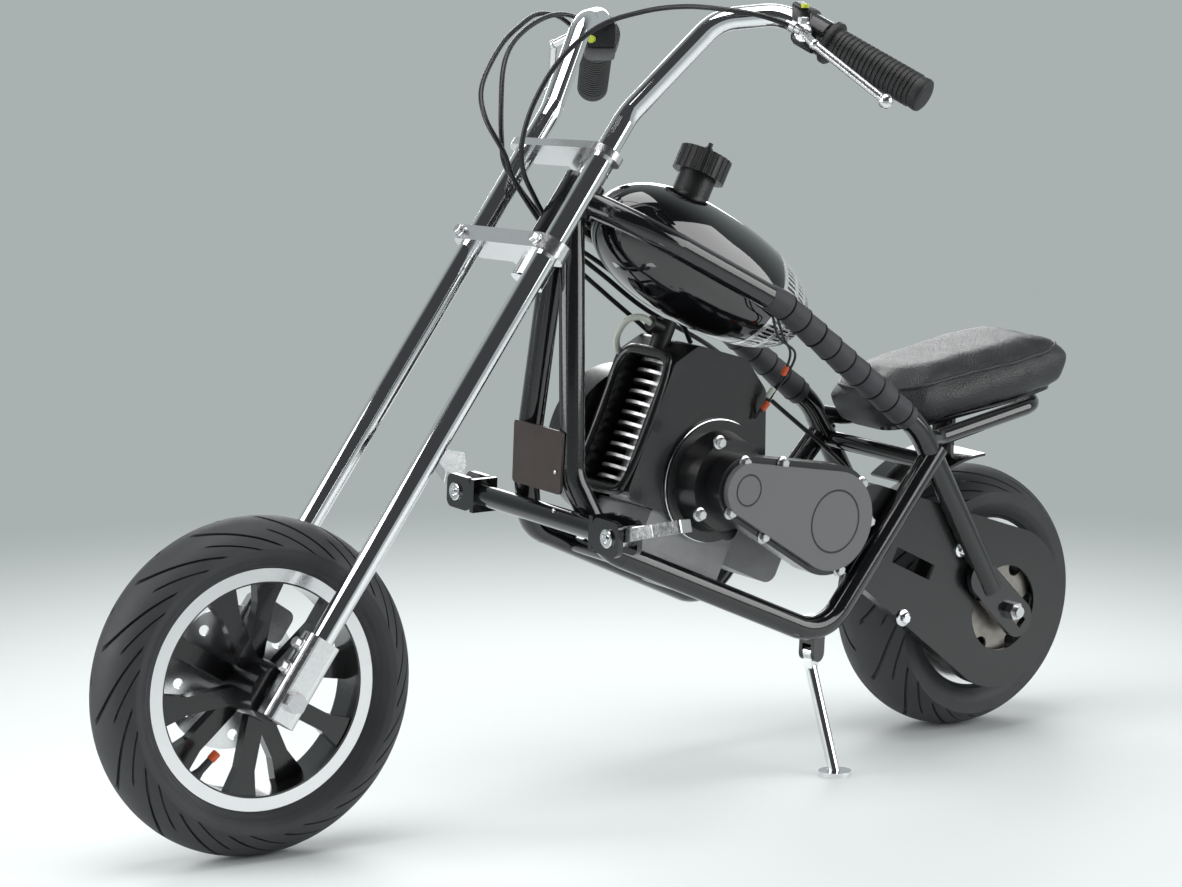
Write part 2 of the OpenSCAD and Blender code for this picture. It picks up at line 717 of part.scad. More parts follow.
// Side stand: a bracket under the left rail and a chrome leg on a tilted pivot
stand_pin_r = 5;
stand_pin_shares = [0.308, 0.8, 0.86];
stand_foot_shares = [0.302, 1.22];
stand_axis_turn = 12;
stand_leg_r = 6;
stand_pad_r = 17;
stand_pad_t = 5;
stand_eye_r = 9;
stand_neck = 16;
stand_eye_t = 10;
stand_ear_t = 4;
stand_ear_h = 38;
stand_pin = [stand_pin_shares[0] * wheelbase, stand_pin_shares[1] * rail_y, stand_pin_shares[2] * rail_low_z];
stand_out = stand_foot_shares[1] * rail_y;
stand_foot = [stand_foot_shares[0] * wheelbase, stand_out * cos(lean), stand_out * sin(lean)];
module at_stand_pin() {
    stance() translate(stand_pin) rotate([0, 0, stand_axis_turn]) rotate([-90, 0, 0]) children();
}
module stand_bracket() {
    ear = stand_eye_t / 2 + side_gap;
    color("black") difference() {
        at_stand_pin() {
            for (end = [0, 1]) mirror([0, 0, end]) translate([0, 0, ear]) {
                cylinder(r = stand_eye_r, h = stand_ear_t);
                translate([-stand_eye_r, -stand_ear_h, 0]) cube([2 * stand_eye_r, stand_ear_h, stand_ear_t]);
            }
            cylinder(r = stand_pin_r, h = 2 * (ear + stand_ear_t), center = true);
            translate([-stand_eye_r, -stand_ear_h, -ear])
                cube([2 * stand_eye_r, stand_ear_h - stand_eye_r - 2 * side_gap, 2 * ear]);
        }
        stance() bent_tube(rail_pts, tube_r, rail_bend_r);
    }
}
module side_stand() {
    color("silver") {
        at_stand_pin() difference() {
            union() {
                cylinder(r = stand_eye_r - side_gap, h = stand_eye_t, center = true);
                translate([-stand_leg_r, 0, -stand_eye_t / 2]) cube([2 * stand_leg_r, stand_neck, stand_eye_t]);
            }
            cylinder(r = stand_pin_r + run_gap, h = 2 * stand_eye_t, center = true);
        }
        stance() difference() {
            rod(stand_pin - [0, 0, stand_neck - cut], stand_foot, stand_leg_r);
            rotate([lean, 0, 0]) translate([0, 0, -wheelbase]) cube(2 * wheelbase, center = true);
        }
        translate([stand_foot[0] - origin_x, stand_out - origin_y, 0]) cylinder(r = stand_pad_r, h = stand_pad_t);
    }
}

// Seat rails: a loop from the main tubes round the back of the seat
seat_tube_r = 9;
seat_start_share = 0.06;
seat_rail_start = main_pts[3] + seat_start_share * (main_pts[4] - main_pts[3]);
seat_front_shares = [0.12, 0.83, 0.953];
seat_back_shares = [-0.067, 0.71, 1.026];
seat_bend_r = 36;
function seat_point(s) = [s[0] * wheelbase, s[1] * main_y, s[2] * main_bend_z];
seat_front_at = seat_point(seat_front_shares);
seat_back_at = seat_point(seat_back_shares);
seat_half_pts = [seat_rail_start, seat_front_at, seat_back_at];
seat_rail_pts = concat(seat_half_pts, [for (i = [2 : -1 : 0]) flip(seat_half_pts[i], -1)]);
module seat_rails() {
    color("black") stance() difference() {
        bent_tube(seat_rail_pts, seat_tube_r, seat_bend_r);
        for (side = [-1, 1]) {
            main_cope(side);
            rail_cope(side);
        }
    }
}

// Seat pan and cushion, square to the seat rails
pan_t = 4;
pan_corner = 26;
seat_slope = atan2(seat_back_at[2] - seat_front_at[2], seat_front_at[0] - seat_back_at[0]);
seat_x_share = 0.03;
seat_mid = (seat_front_at + seat_back_at) / 2;
// Half outline of the cushion: shares of its length from its middle and of its half width
seat_shares = [[0.5, 0.5], [0.3, 0.86], [-0.2, 1], [-0.46, 0.86], [-0.5, 0.6]];
seat_edge_share = 0.55;
seat_top_share = 0.82;
seat_low_share = 0.9;
module at_seat() {
    x = seat_x_share * wheelbase;
    stance() translate([x, 0, seat_mid[2] + (seat_mid[0] - x) * tan(seat_slope)])
        rotate([0, seat_slope, 0]) translate([0, 0, seat_tube_r / cos(seat_slope)]) children();
}
module seat_plan(share) {
    half = [for (s = seat_shares) [s[0] * seat_len, s[1] * seat_hw] * share];
    other_half = [for (i = [len(half) - 1 : -1 : 0]) [half[i][0], -half[i][1]]];
    polygon(rounded(concat(half, other_half), pan_corner * share));
}
module seat_pan() {
    color("black") at_seat() linear_extrude(pan_t) seat_plan(seat_top_share);
}
module seat() {
    color([0.1, 0.1, 0.1]) at_seat() translate([0, 0, pan_t]) hull() {
        linear_extrude(cut) seat_plan(seat_low_share);
        translate([0, 0, seat_edge_share * seat_t]) linear_extrude(cut) seat_plan(1);
        translate([0, 0, seat_t - cut]) linear_extrude(cut) seat_plan(seat_top_share);
    }
}

// Rear fender: a curved plate over the rear tyre, hung from the seat pan
fender_gap = 17;
fender_t = 3;
fender_hw = 42;
fender_from = 55;
fender_sweep = 33;
hanger_w = 30;
hanger_t = 5;
hanger_reach = 224;
module rear_fender() {
    color("black") {
        stance() translate(rear_axle) rotate([90, 0, 0]) rotate(fender_from) rotate_extrude(angle = fender_sweep)
            translate([rear_tyre_r + fender_gap, -fender_hw]) square([fender_t, 2 * fender_hw]);
        difference() {
            stance() translate([seat_x_share * wheelbase, -hanger_w / 2, rear_axle_z])
                cube([hanger_t, hanger_w, hanger_reach]);
            stance() translate(rear_axle) rotate([90, 0, 0])
                cylinder(r = rear_tyre_r + fender_gap + fender_t, h = 2 * fender_hw, center = true);
            at_seat() translate([-wheelbase / 2, -wheelbase / 2, 0]) cube(wheelbase);
        }
    }
}

// Fuel tank: a round teardrop lying between the main tubes
tank_head_gap = 34.2;
tank_lift = 3.6;
tank_tilt = atan2(main_pts[1][2] - main_pts[2][2], main_pts[1][0] - main_pts[2][0]);
tank_steps = 20;
tank_front_share = 0.437;
tank_power = 2.4;
module at_tank() {
    back = tank_front_share * tank_len + tank_head_gap;
    stance() translate(head_mid) rotate([0, -tank_tilt, 0]) translate([-back, 0, tank_lift]) children();
}
// Radius at w, from -1 at the rear tip to 1 at the front tip: the tank's radius by a blunt ellipse
function tank_radius(w) = tank_r * sqrt(1 - pow(abs(w), tank_power));
function tank_along(w) = w * tank_len * (w > 0 ? tank_front_share : 1 - tank_front_share);
module tank_form() {
    at_tank() rotate([0, 90, 0]) rotate_extrude()
        polygon([for (i = [0 : tank_steps]) let (w = sin(180 * i / tank_steps - 90))
            [tank_radius(w), tank_along(w)]]);
}
module fuel_tank() {
    color("black") tank_form();
}

// Straps that seat the tank on the main tubes
tank_strap_w = 22;
tank_strap_shares = [0.55, 0.9];
module tank_brackets() {
    color("black") for (share = tank_strap_shares) difference() {
        stance() {
            at = main_pts[1] + share * (main_pts[2] - main_pts[1]);
            translate([at[0], 0, at[2]]) rotate([0, -tank_tilt, 0])
                cube([tank_strap_w, 2 * at[1], tube_r], center = true);
        }
        stance() for (side = [-1, 1]) rod(flip(main_pts[1], side), flip(main_pts[2], side), tube_r);
        tank_form();
    }
}

// Ribbed filler cap on its neck
cap_x = 34;
cap_h = 24;
neck_r = 19;
neck_h = 18;
cap_ribs = 24;
rib_r = 2;
module fuel_cap() {
    color("black") difference() {
        at_tank() translate([cap_x, 0, 0]) {
            cylinder(r = neck_r, h = tank_r + neck_h);
            translate([0, 0, tank_r + neck_h]) difference() {
                cylinder(r = cap_r, h = cap_h);
                for (i = [0 : cap_ribs - 1]) rotate(360 / cap_ribs * i)
                    translate([cap_r + rib_r / 2, 0, -cut]) cylinder(r = rib_r, h = cap_h + 2 * cut);
            }
        }
        tank_form();
    }
}

// Steering stem with its lower race and top nut
race_r = 16;
top_nut_r = 17;
top_nut_h = 12;
clamp_low_t = 16;
clamp_top_t = 8;
clamp_wall = 7;
clamp_leg_r = leg_r + clamp_wall;
clamp_stem_r = 16.5;
clamp_web_hw = 14;
module steering_stem() {
    color("silver") steered() {
        low = low_clamp_t - clamp_low_t / 2;
        top = top_clamp_t + clamp_top_t / 2;
        rod(on_axis(low - top_nut_h), on_axis(top + top_nut_h), stem_r);
        rod(on_axis(low_clamp_t + clamp_low_t / 2), on_axis(head_low_t - side_gap), race_r);
        rod(on_axis(top), on_axis(top + top_nut_h), top_nut_r);
        rod(on_axis(low - top_nut_h), on_axis(low), top_nut_r);
    }
}

// Clamp plate square to the legs: a leg eye at each side and the stem's eye behind
module clamp_plate(t, thick) {
    difference() {
        translate(front_axle + (t - thick / 2) * steer_u) rotate([0, -rake, 0]) {
            belt([0, -leg_y], clamp_leg_r, [0, leg_y], clamp_leg_r, thick);
            translate([-steer_offset, 0, 0]) cylinder(r = clamp_stem_r, h = thick);
            translate([-steer_offset, -clamp_web_hw, 0]) cube([steer_offset, 2 * clamp_web_hw, thick]);
        }
        for (side = [-1, 1]) rod(on_leg(t - thick, side), on_leg(t + thick, side), leg_r);
        rod(on_axis(t - thick), on_axis(t + thick), stem_r);
    }
}
module lower_clamp() {
    color("silver") steered() clamp_plate(low_clamp_t, clamp_low_t);
}
module upper_clamp() {
    color("silver") steered() clamp_plate(top_clamp_t, clamp_top_t);
}

// Fork legs, from the axle clamps to the middle of the upper clamp
leg_low_t = 24;
module fork_leg(side) {
    color("silver") steered() rod(on_leg(leg_low_t, side), on_leg(top_clamp_t, side), leg_r);
}

// Handlebars: each rises from a leg, bends out and runs down to its grip
bar_straight = 46;
bar_shares = [[0.45, 0.42, 1], [0.67, 0.557, 1.045], [1, 1, 0.46]];
bar_bend_r = 46;
grip_len = 105;
function bar_pts(side) = concat([on_leg(top_clamp_t, side), on_leg(top_clamp_t + bar_straight, side)],
    [for (s = bar_shares) let (c = on_leg(top_clamp_t, side))
        [c[0] - s[0] * bar_pull, side * s[1] * bar_hw, c[2] + s[2] * bar_rise]]);
function bar_at(from_end, side) = let (p = bar_pts(side)) p[4] + from_end * unit(p[3] - p[4]);
module handlebar(side) {
    color("silver") steered() bent_tube(bar_pts(side), bar_r, bar_bend_r);
}

// Rubber grips with a flange at the inner end
flange_r = 21;
flange_t = 6;
grip_end_t = 4;
module grips() {
    color([0.1, 0.1, 0.1]) steered() for (side = [-1, 1]) difference() {
        union() {
            rod(bar_at(-grip_end_t, side), bar_at(grip_len, side), grip_r);
            rod(bar_at(grip_len - flange_t, side), bar_at(grip_len, side), flange_r);
        }
        rod(bar_at(0, side), bar_at(grip_len + cut, side), bar_r);
    }
}

// Brake levers: a perch clamped on the bar and a blade that runs outward in front of the grip
perch_len = 28;
perch_r = 17;
perch_gap = 4;
perch_from = grip_len + perch_gap;
lever_reach = 46;
lever_len = 80;
lever_t = 8;
lever_ball_r = 7;
lever_drop = 14;
lever_knee_share = 0.62;
module brake_lever(side) {
    d = unit(bar_at(0, side) - bar_at(grip_len, side));
    ahead = unit(cross(d, [0, 0, side]));
    pivot = bar_at(perch_from + perch_len / 2, side) + (perch_r + lever_t) * ahead;
    knee = bar_at(grip_len - flange_t, side) + lever_reach * ahead;
    tip = knee + lever_len * d + [0, 0, -lever_drop];
    difference() {
        union() {
            rod(bar_at(perch_from, side), bar_at(perch_from + perch_len, side), perch_r);
            rod(bar_at(perch_from + perch_len / 2, side), pivot, perch_r / 2);
        }
        rod(bar_at(perch_from - cut, side), bar_at(perch_from + perch_len + cut, side), bar_r);
    }
    rod(pivot, knee, lever_t / 2);
    rod(knee, tip, lever_t / 2 - bend_thinning);
    translate(tip) sphere(lever_ball_r);
    translate(knee) sphere(lever_t * lever_knee_share);
}
module left_lever() {
    color("dimgray") steered() brake_lever(1);
}
// The right lever shares its perch with the throttle housing
throttle_r = 22;
throttle_w = 14;
module right_lever() {
    color("dimgray") steered() {
        brake_lever(-1);
        difference() {
            rod(bar_at(perch_from, -1), bar_at(perch_from + throttle_w, -1), throttle_r);
            rod(bar_at(perch_from - cut, -1), bar_at(perch_from + perch_len, -1), bar_r);
        }
    }
}

// Axle clamps: split blocks on the leg ends that hold the front axle
front_hub_hw = 50;
axle_block_w = 26;
axle_block_d = 34;
axle_block_low = 22;
axle_block_top = 62;
axle_block_corner = 8;
block_slit = 3;
module axle_clamps() {
    color("silver") steered() for (side = [-1, 1]) difference() {
        at_fork(-axle_block_low) translate([0, side * leg_y, 0]) linear_extrude(axle_block_low + axle_block_top)
            round_rect(axle_block_d, axle_block_w, axle_block_corner);
        rod(on_leg(leg_low_t, side), on_leg(axle_block_top + cut, side), leg_r);
        translate(front_axle) rotate([90, 0, 0]) cylinder(r = axle_r, h = 4 * leg_y, center = true);
        at_fork(leg_low_t) translate([0, side * leg_y - block_slit / 2, 0])
            cube([axle_block_d, block_slit, axle_block_top]);
    }
}

// Front axle with spacers and nuts
module front_axle() {
    inner = leg_y - axle_block_w / 2;
    outer = leg_y + axle_block_w / 2;
    color("silver") steered() translate(front_axle) rotate([90, 0, 0]) {
        cylinder(r = axle_r, h = 2 * (outer + axle_over / 2), center = true);
        for (end = [0, 1]) mirror([0, 0, end]) {
            translate([0, 0, front_hub_hw + side_gap]) cylinder(r = spacer_r, h = inner - front_hub_hw - side_gap);
            translate([0, 0, outer]) cylinder(r = nut_r, h = nut_t, $fn = 6);
        }
    }
}

// Front caliper inside the right leg
module front_caliper() {
    color("dimgray") steered() difference() {
        at_fork(disc_r - caliper_h / 8) caliper_block(disc_y - caliper_in, leg_y - leg_r + caliper_lug);
        rod(on_leg(leg_low_t, -1), on_leg(top_clamp_t, -1), leg_r);
        at_fork(-axle_block_low) translate([0, -leg_y, 0]) linear_extrude(axle_block_low + axle_block_top)
            round_rect(axle_block_d, axle_block_w, axle_block_corner);
    }
}

// Tyre section on its side: bead between the lips, round crown above, as (radius, width) points
lip_t = 4;
bead_depth = 8;
wide_share = 0.35;
module tyre_section(tyre_r, hw, crown_r, lip_r, rim_hw) {
    bead_r = lip_r - bead_depth;
    bead_hw = rim_hw - lip_t;
    wide_r = lip_r + (tyre_r - lip_r) * wide_share;
    intersection() {
        translate([tyre_r - crown_r, 0]) circle(crown_r);
        polygon([[bead_r, -bead_hw], [lip_r, -bead_hw], [lip_r + cut / 2, -rim_hw], [wide_r, -hw],
            [tyre_r + cut, -hw], [tyre_r + cut, hw], [wide_r, hw], [lip_r + cut / 2, rim_hw],
            [lip_r, bead_hw], [bead_r, bead_hw]]);
    }
}
module tyre(tyre_r, hw, crown_r, lip_r, rim_hw) {
    color([0.12, 0.12, 0.13]) rotate([90, 0, 0]) rotate_extrude($fn = 128)
        tyre_section(tyre_r, hw, crown_r, lip_r, rim_hw);
}

// Cast wheel: a rim with a lip on each side, a hub and a ring of flared spokes on each side
rim_t = 5;
spoke_w = 17;
spoke_flare = 30;
spoke_t = 13;
module rim_section(lip_r, rim_hw) {
    bead_r = lip_r - bead_depth;
    difference() {
        translate([bead_r - rim_t, -rim_hw]) square([bead_depth + rim_t, 2 * rim_hw]);
        translate([bead_r, lip_t - rim_hw]) square([lip_r, 2 * (rim_hw - lip_t)]);
    }
}
// Spoke outline: narrow at the hub and flared where it meets the rim
module spoke_outline(inner, outer) {
    polygon([[inner, -spoke_w / 2], [(inner + 2 * outer) / 3, -spoke_w / 2], [outer, -spoke_flare / 2],
        [outer, spoke_flare / 2], [(inner + 2 * outer) / 3, spoke_w / 2], [inner, spoke_w / 2]]);
}
module cast_wheel(lip_r, rim_hw, hub_r, hub_hw, spokes, twist, turn) {
    rim_in = lip_r - bead_depth - rim_t;
    rotate([90, 0, 0]) difference() {
        union() {
            rotate_extrude($fn = 128) rim_section(lip_r, rim_hw);
            cylinder(r = hub_r, h = 2 * hub_hw, center = true);
            for (i = [0 : spokes - 1], end = [0, 1]) rotate(turn + 360 / spokes * (i + end * twist))
                translate([0, 0, end == 0 ? rim_hw - spoke_t - lip_t / 2 : -rim_hw + lip_t / 2])
                    linear_extrude(spoke_t) spoke_outline(hub_r - cut, rim_in + cut);
        }
        cylinder(r = axle_r + run_gap, h = 4 * hub_hw, center = true);
    }
}

// Brake disc with a ring of cooling holes, bolted to the hub's right end
hub_step = 8;
disc_holes = 12;
disc_hole_r = 5;
disc_ring_share = 0.8;
module brake_disc(y, hub_r) {
    translate([0, -y + disc_t / 2, 0]) rotate([90, 0, 0]) difference() {
        cylinder(r = disc_r, h = disc_t);
        cylinder(r = hub_r, h = 3 * disc_t, center = true);
        for (i = [0 : disc_holes - 1]) rotate(360 / disc_holes * i)
            translate([disc_ring_share * disc_r, 0, -cut]) cylinder(r = disc_hole_r, h = disc_t + 2 * cut);
    }
}
module front_tyre() {
    steered() translate(front_axle) tyre(front_tyre_r, front_tyre_hw, front_crown_r, front_lip_r, front_rim_hw);
}
front_twist_share = 0.5;
front_spoke_turn = 31;
module front_wheel() {
    color("black") steered() translate(front_axle)
        cast_wheel(front_lip_r, front_rim_hw, front_hub_r, front_hub_hw, front_spokes, front_twist_share,
            front_spoke_turn);
}
module front_disc() {
    color("silver") steered() translate(front_axle) brake_disc(disc_y, front_hub_r);
}
module rear_tyre() {
    stance() translate(rear_axle) tyre(rear_tyre_r, rear_tyre_hw, rear_crown_r, rear_lip_r, rear_rim_hw);
}
rear_spokes = 3;
module rear_wheel() {
    color("black") stance() translate(rear_axle)
        cast_wheel(rear_lip_r, rear_rim_hw, rear_hub_r, rear_hub_hw, rear_spokes, 0, 0);
}
module rear_disc() {
    color("silver") stance() translate(rear_axle) brake_disc(rear_disc_y, rear_hub_r - hub_step);
}

// Rear sprocket on its carrier at the hub's left end, with round lightening holes
sprocket_holes = 6;
sprocket_hole_r = 9;
sprocket_ring_share = 0.66;
module rear_sprocket() {
    outer_y = chain_y + sprocket_t / 2;
    color("dimgray") stance() translate(rear_axle) translate([0, outer_y, 0]) rotate([90, 0, 0]) difference() {
        union() {
            cylinder(r = sprocket_r, h = sprocket_t);
            cylinder(r = rear_hub_r - hub_step, h = outer_y - rear_hub_hw);
        }
        translate([0, 0, -cut]) cylinder(r = spacer_r + side_gap, h = outer_y);
        for (i = [0 : sprocket_holes - 1]) rotate(360 / sprocket_holes * i)
            translate([sprocket_ring_share * sprocket_r, 0, -cut])
                cylinder(r = sprocket_hole_r, h = sprocket_t + 2 * cut);
    }
}

// Folding foot peg: an eye on the fork's pin and a broad blade that points out, back and up
peg_len = 78;
peg_blade_w = 30;
peg_blade_t = 13;
peg_sweep = 30;
peg_rise = 18;
peg_eye_r = 10;
peg_tip_r = 9;
peg_neck_share = 0.4;
peg_shank_len = 30;
module foot_peg(side) {
    blade_len = peg_len - peg_shank_len;
    neck = peg_neck_share * blade_len;
    shank_w = peg_shank_w - 2 * side_gap;
    color("silver") stance() translate(flip(peg_pin_at, side)) mirror([0, side < 0 ? 1 : 0, 0]) difference() {
        union() {
            rotate([0, 90, 0]) cylinder(r = peg_eye_r, h = peg_shank_w, center = true);
            rotate([peg_rise, 0, 0]) {
                translate([-shank_w / 2, 0, -peg_blade_t / 2]) cube([shank_w, peg_shank_len + cut, peg_blade_t]);
                translate([0, peg_shank_len, -peg_blade_t / 2]) rotate(peg_sweep) linear_extrude(peg_blade_t - cut)
                    polygon(rounded([[-shank_w / 2, -neck / 4], [shank_w / 2, -neck / 4],
                        [peg_blade_w / 2, neck], [peg_blade_w / 2, blade_len], [-peg_blade_w / 2, blade_len],
                        [-peg_blade_w / 2, neck]], peg_tip_r / 3));
            }
        }
        rotate([0, 90, 0]) cylinder(r = peg_pin_r + run_gap, h = 2 * peg_shank_w, center = true);
    }
}

// Control cables: tubes swept along points chosen by hand, parted where they pass the steering axis
cable_r = 2.5;
cable_sides = 8;
cable_guide = [1, 1, 0.3];
left_split = 9;
left_route = [[444, 189.2, 773.6], [466, 165, 783], [487, 132, 787], [502, 95, 787], [520, 58, 780], [545, 24, 764],
    [571, 0, 731], [590, -13, 690], [596, -22, 652], [590, -27, 624], [574, -31, 600], [552, -36, 574],
    [515, -44, 543], [465, -52, 512], [405, -56, 474], [310, -62, 428], [215, -68, 362], [120, -64, 292],
    [76, -63, 246], [43, -63, 222]];
right_split = 8;
right_route = [[409.5, -188.4, 750], [440, -178, 763], [475, -165, 766], [510, -145, 757], [555, -118, 737],
    [600, -85, 701], [613, -60, 672], [604, -40, 640], [592, -42, 617], [572, -44, 592], [546, -47, 564],
    [508, -52, 528], [458, -58, 493], [400, -60, 452], [345, -56, 405], [312, -47, 364], [313, -25, 324]];
switch_split = 10;
switch_route = [[404, -175.8, 748.8], [414, -168.3, 754.2], [436, -156, 764], [466, -143, 767],
    [497, -129, 763], [530, -114, 752], [561, -94, 737],
    [582, -76, 716], [596, -58, 682], [600, -50, 652], [594, -52, 628], [574, -54, 604], [548, -58, 580],
    [510, -62, 551], [458, -60, 520], [410, -46, 484], [380, -34, 464], [367.6, -30, 442.1]];
function route_way(pts, i) = unit(pts[min(i + 1, len(pts) - 1)] - pts[max(i - 1, 0)]);
function cable_ring(p, way) = let (a = unit(cross(way, cable_guide)), b = cross(way, a))
    [for (j = [0 : cable_sides - 1]) let (w = 360 * j / cable_sides) p + cable_r * (cos(w) * a + sin(w) * b)];
module cable(pts, first, last) {
    k = cable_sides;
    n = last - first;
    polyhedron([for (i = [first : last]) each cable_ring(pts[i], route_way(pts, i))],
        concat([[for (j = [0 : k - 1]) j]],
            [for (i = [0 : n - 1], j = [0 : k - 1]) let (e = (j + 1) % k)
                [(i + 1) * k + j, (i + 1) * k + e, i * k + e, i * k + j]],
            [[for (j = [k - 1 : -1 : 0]) n * k + j]]));
}
module cables_front() {
    color("black") stance() {
        cable(left_route, 0, left_split);
        cable(right_route, 0, right_split);
        cable(switch_route, 0, switch_split);
    }
}
module cables_rear() {
    color("black") stance() {
        cable(left_route, left_split, len(left_route) - 1);
        cable(right_route, right_split, len(right_route) - 1);
        cable(switch_route, switch_split, len(switch_route) - 1);
    }
}

head_tube();
main_tube(1);  // main_tube_left
main_tube(-1);  // main_tube_right
tube_wraps();
lower_rail(1);  // lower_rail_left
lower_rail(-1);  // lower_rail_right
seat_cross_tube();
peg_crossbar();
front_plate();
engine_mounts();
seat_rails();
seat_pan();
seat();
rear_fender();
fuel_tank();
tank_brackets();
fuel_cap();
crankcase();
cylinder_barrel();  // cylinder
engine_shroud();
spark_plug_cap();
starter_housing();
starter_handle();
clutch_housing();
gearbox();
gearbox_cover();
carburettor();
muffler();
chain();
chain_guard();
dropouts();
rear_axle();
rear_caliper();
stand_bracket();
steering_stem();
lower_clamp();
upper_clamp();
fork_leg(1);  // fork_leg_left
fork_leg(-1);  // fork_leg_right
handlebar(1);  // handlebar_left
handlebar(-1);  // handlebar_right
grips();
left_lever();
right_lever();
axle_clamps();
front_axle();
front_caliper();
front_tyre();
front_wheel();
front_disc();
rear_tyre();
rear_wheel();
rear_sprocket();
rear_disc();
side_stand();
foot_peg(1);  // foot_peg_left
foot_peg(-1);  // foot_peg_right
cables_front();
cables_rear();
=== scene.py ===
import bpy
import numpy as np
from mathutils import Matrix


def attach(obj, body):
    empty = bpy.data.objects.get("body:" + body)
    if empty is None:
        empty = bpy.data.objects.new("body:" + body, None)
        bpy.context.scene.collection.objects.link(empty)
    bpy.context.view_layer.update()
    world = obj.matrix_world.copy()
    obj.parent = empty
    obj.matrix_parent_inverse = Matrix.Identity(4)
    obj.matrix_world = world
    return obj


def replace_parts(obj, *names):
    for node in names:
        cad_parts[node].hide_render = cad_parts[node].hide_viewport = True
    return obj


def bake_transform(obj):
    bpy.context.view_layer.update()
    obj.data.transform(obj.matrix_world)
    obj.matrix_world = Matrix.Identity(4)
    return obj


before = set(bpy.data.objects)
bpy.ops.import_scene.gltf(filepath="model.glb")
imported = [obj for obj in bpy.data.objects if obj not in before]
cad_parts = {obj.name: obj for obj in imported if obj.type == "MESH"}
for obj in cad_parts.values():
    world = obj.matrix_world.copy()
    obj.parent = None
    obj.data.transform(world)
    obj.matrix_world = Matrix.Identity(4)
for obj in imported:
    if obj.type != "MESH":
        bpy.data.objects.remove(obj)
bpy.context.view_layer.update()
scene = bpy.context.scene


# Camera
# A long lens ahead of the machine and to its left, a little above the tank, as the photograph was taken.
# Its place, turn and focal length were fitted to the outlines of the two tyres.
def unit(v):
    """A vector, or each row of vectors, brought to length 1."""
    v = np.asarray(v, float)
    return v / np.linalg.norm(v, axis=-1, keepdims=True)


def stand(made, across, up, back, place):
    """Puts a camera or a lamp at a place, with its own x, y and z along three vectors."""
    turn = np.eye(4)
    turn[:3] = np.stack([across, up, back, place], -1)
    made.matrix_world = Matrix(turn.tolist())


lens_px, picture_px, sensor_mm = 2969.8, 1182, 36
look_yaw, look_pitch, look_roll = np.radians([-127.7245, -7.0531, -0.4119])
camera_place = (1.836715, 2.259675, 0.71354)
ahead = np.array([np.cos(look_pitch) * np.cos(look_yaw), np.cos(look_pitch) * np.sin(look_yaw),
                  np.sin(look_pitch)])
level = unit(np.cross(ahead, [0, 0, 1]))
over = np.cross(level, ahead)
level, over = (np.cos(look_roll) * level + np.sin(look_roll) * over,
               np.cos(look_roll) * over - np.sin(look_roll) * level)
view_data = bpy.data.cameras.new("view")
view_data.sensor_width = sensor_mm
view_data.lens = sensor_mm * lens_px / picture_px
view = bpy.data.objects.new("view", view_data)
scene.collection.objects.link(view)
stand(view, level, over, -ahead, camera_place)
scene.camera = view
scene.view_settings.view_transform = "Standard"


# Studio floor and light
# A pale seamless floor that runs out into a grey-green room, under large soft boxes. The floor is a disc
# of rings, and its far part shows the room's own colour, so that no horizon line is seen.
class Wire:
    """One output of a shader tree. Arithmetic on it adds Math nodes; numbers alone stay Python's."""

    def __init__(self, tree, socket):
        self.tree, self.socket = tree, socket

    def node(self, kind, settings=None, inputs=None, out=0):
        """Adds a node of that kind, sets its settings, then fills its sockets with values or links."""
        made = self.tree.nodes.new(kind)
        for key, value in (settings or {}).items():
            setattr(made, key, value)
        for key, value in (inputs or {}).items():
            if isinstance(value, Wire):
                self.tree.links.new(value.socket, made.inputs[key])
            else:
                made.inputs[key].default_value = value
        return Wire(self.tree, made.outputs[out])

    def maths(self, operation, *values):
        return self.node("ShaderNodeMath", {"operation": operation}, dict(enumerate(values)))

    def vector(self, operation, *values, out=0):
        return self.node("ShaderNodeVectorMath", {"operation": operation}, dict(enumerate(values)), out)

    def __add__(self, other):
        return self.maths("ADD", self, other)

    def __radd__(self, other):
        return self.maths("ADD", other, self)

    def __sub__(self, other):
        return self.maths("SUBTRACT", self, other)

    def __rsub__(self, other):
        return self.maths("SUBTRACT", other, self)

    def __mul__(self, other):
        return self.maths("MULTIPLY", self, other)

    def __rmul__(self, other):
        return self.maths("MULTIPLY", other, self)

    def step(self, low, high):
        """Rises smoothly from 0 at low to 1 at high; low above high makes it fall."""
        return self.node("ShaderNodeMapRange", {"interpolation_type": "SMOOTHSTEP"},
                         {0: self, 1: low, 2: high, 3: 0.0, 4: 1.0})

    def noise(self, scale, detail=2.0):
        return self.node("ShaderNodeTexNoise", None, {"Vector": self, "Scale": scale, "Detail": detail})

    def tint(self, dark, light):
        """Colour between two, by this value."""
        shades = {0: self, 6: (*dark, 1), 7: (*light, 1)}
        return self.node("ShaderNodeMix", {"data_type": "RGBA"}, shades, out=2)

    def from_line(self, point, along):
        """Distance of an object place from the line through a point along a unit vector."""
        offset = self.vector("SUBTRACT", self, tuple(point))
        across = self.vector("CROSS_PRODUCT", offset, tuple(along))
        return self.vector("LENGTH", across, out=1)

    def along_line(self, point, along):
        """Distance of an object place along a line, from a point on it."""
        offset = self.vector("SUBTRACT", self, tuple(point))
        return self.vector("DOT_PRODUCT", offset, tuple(along), out=1)


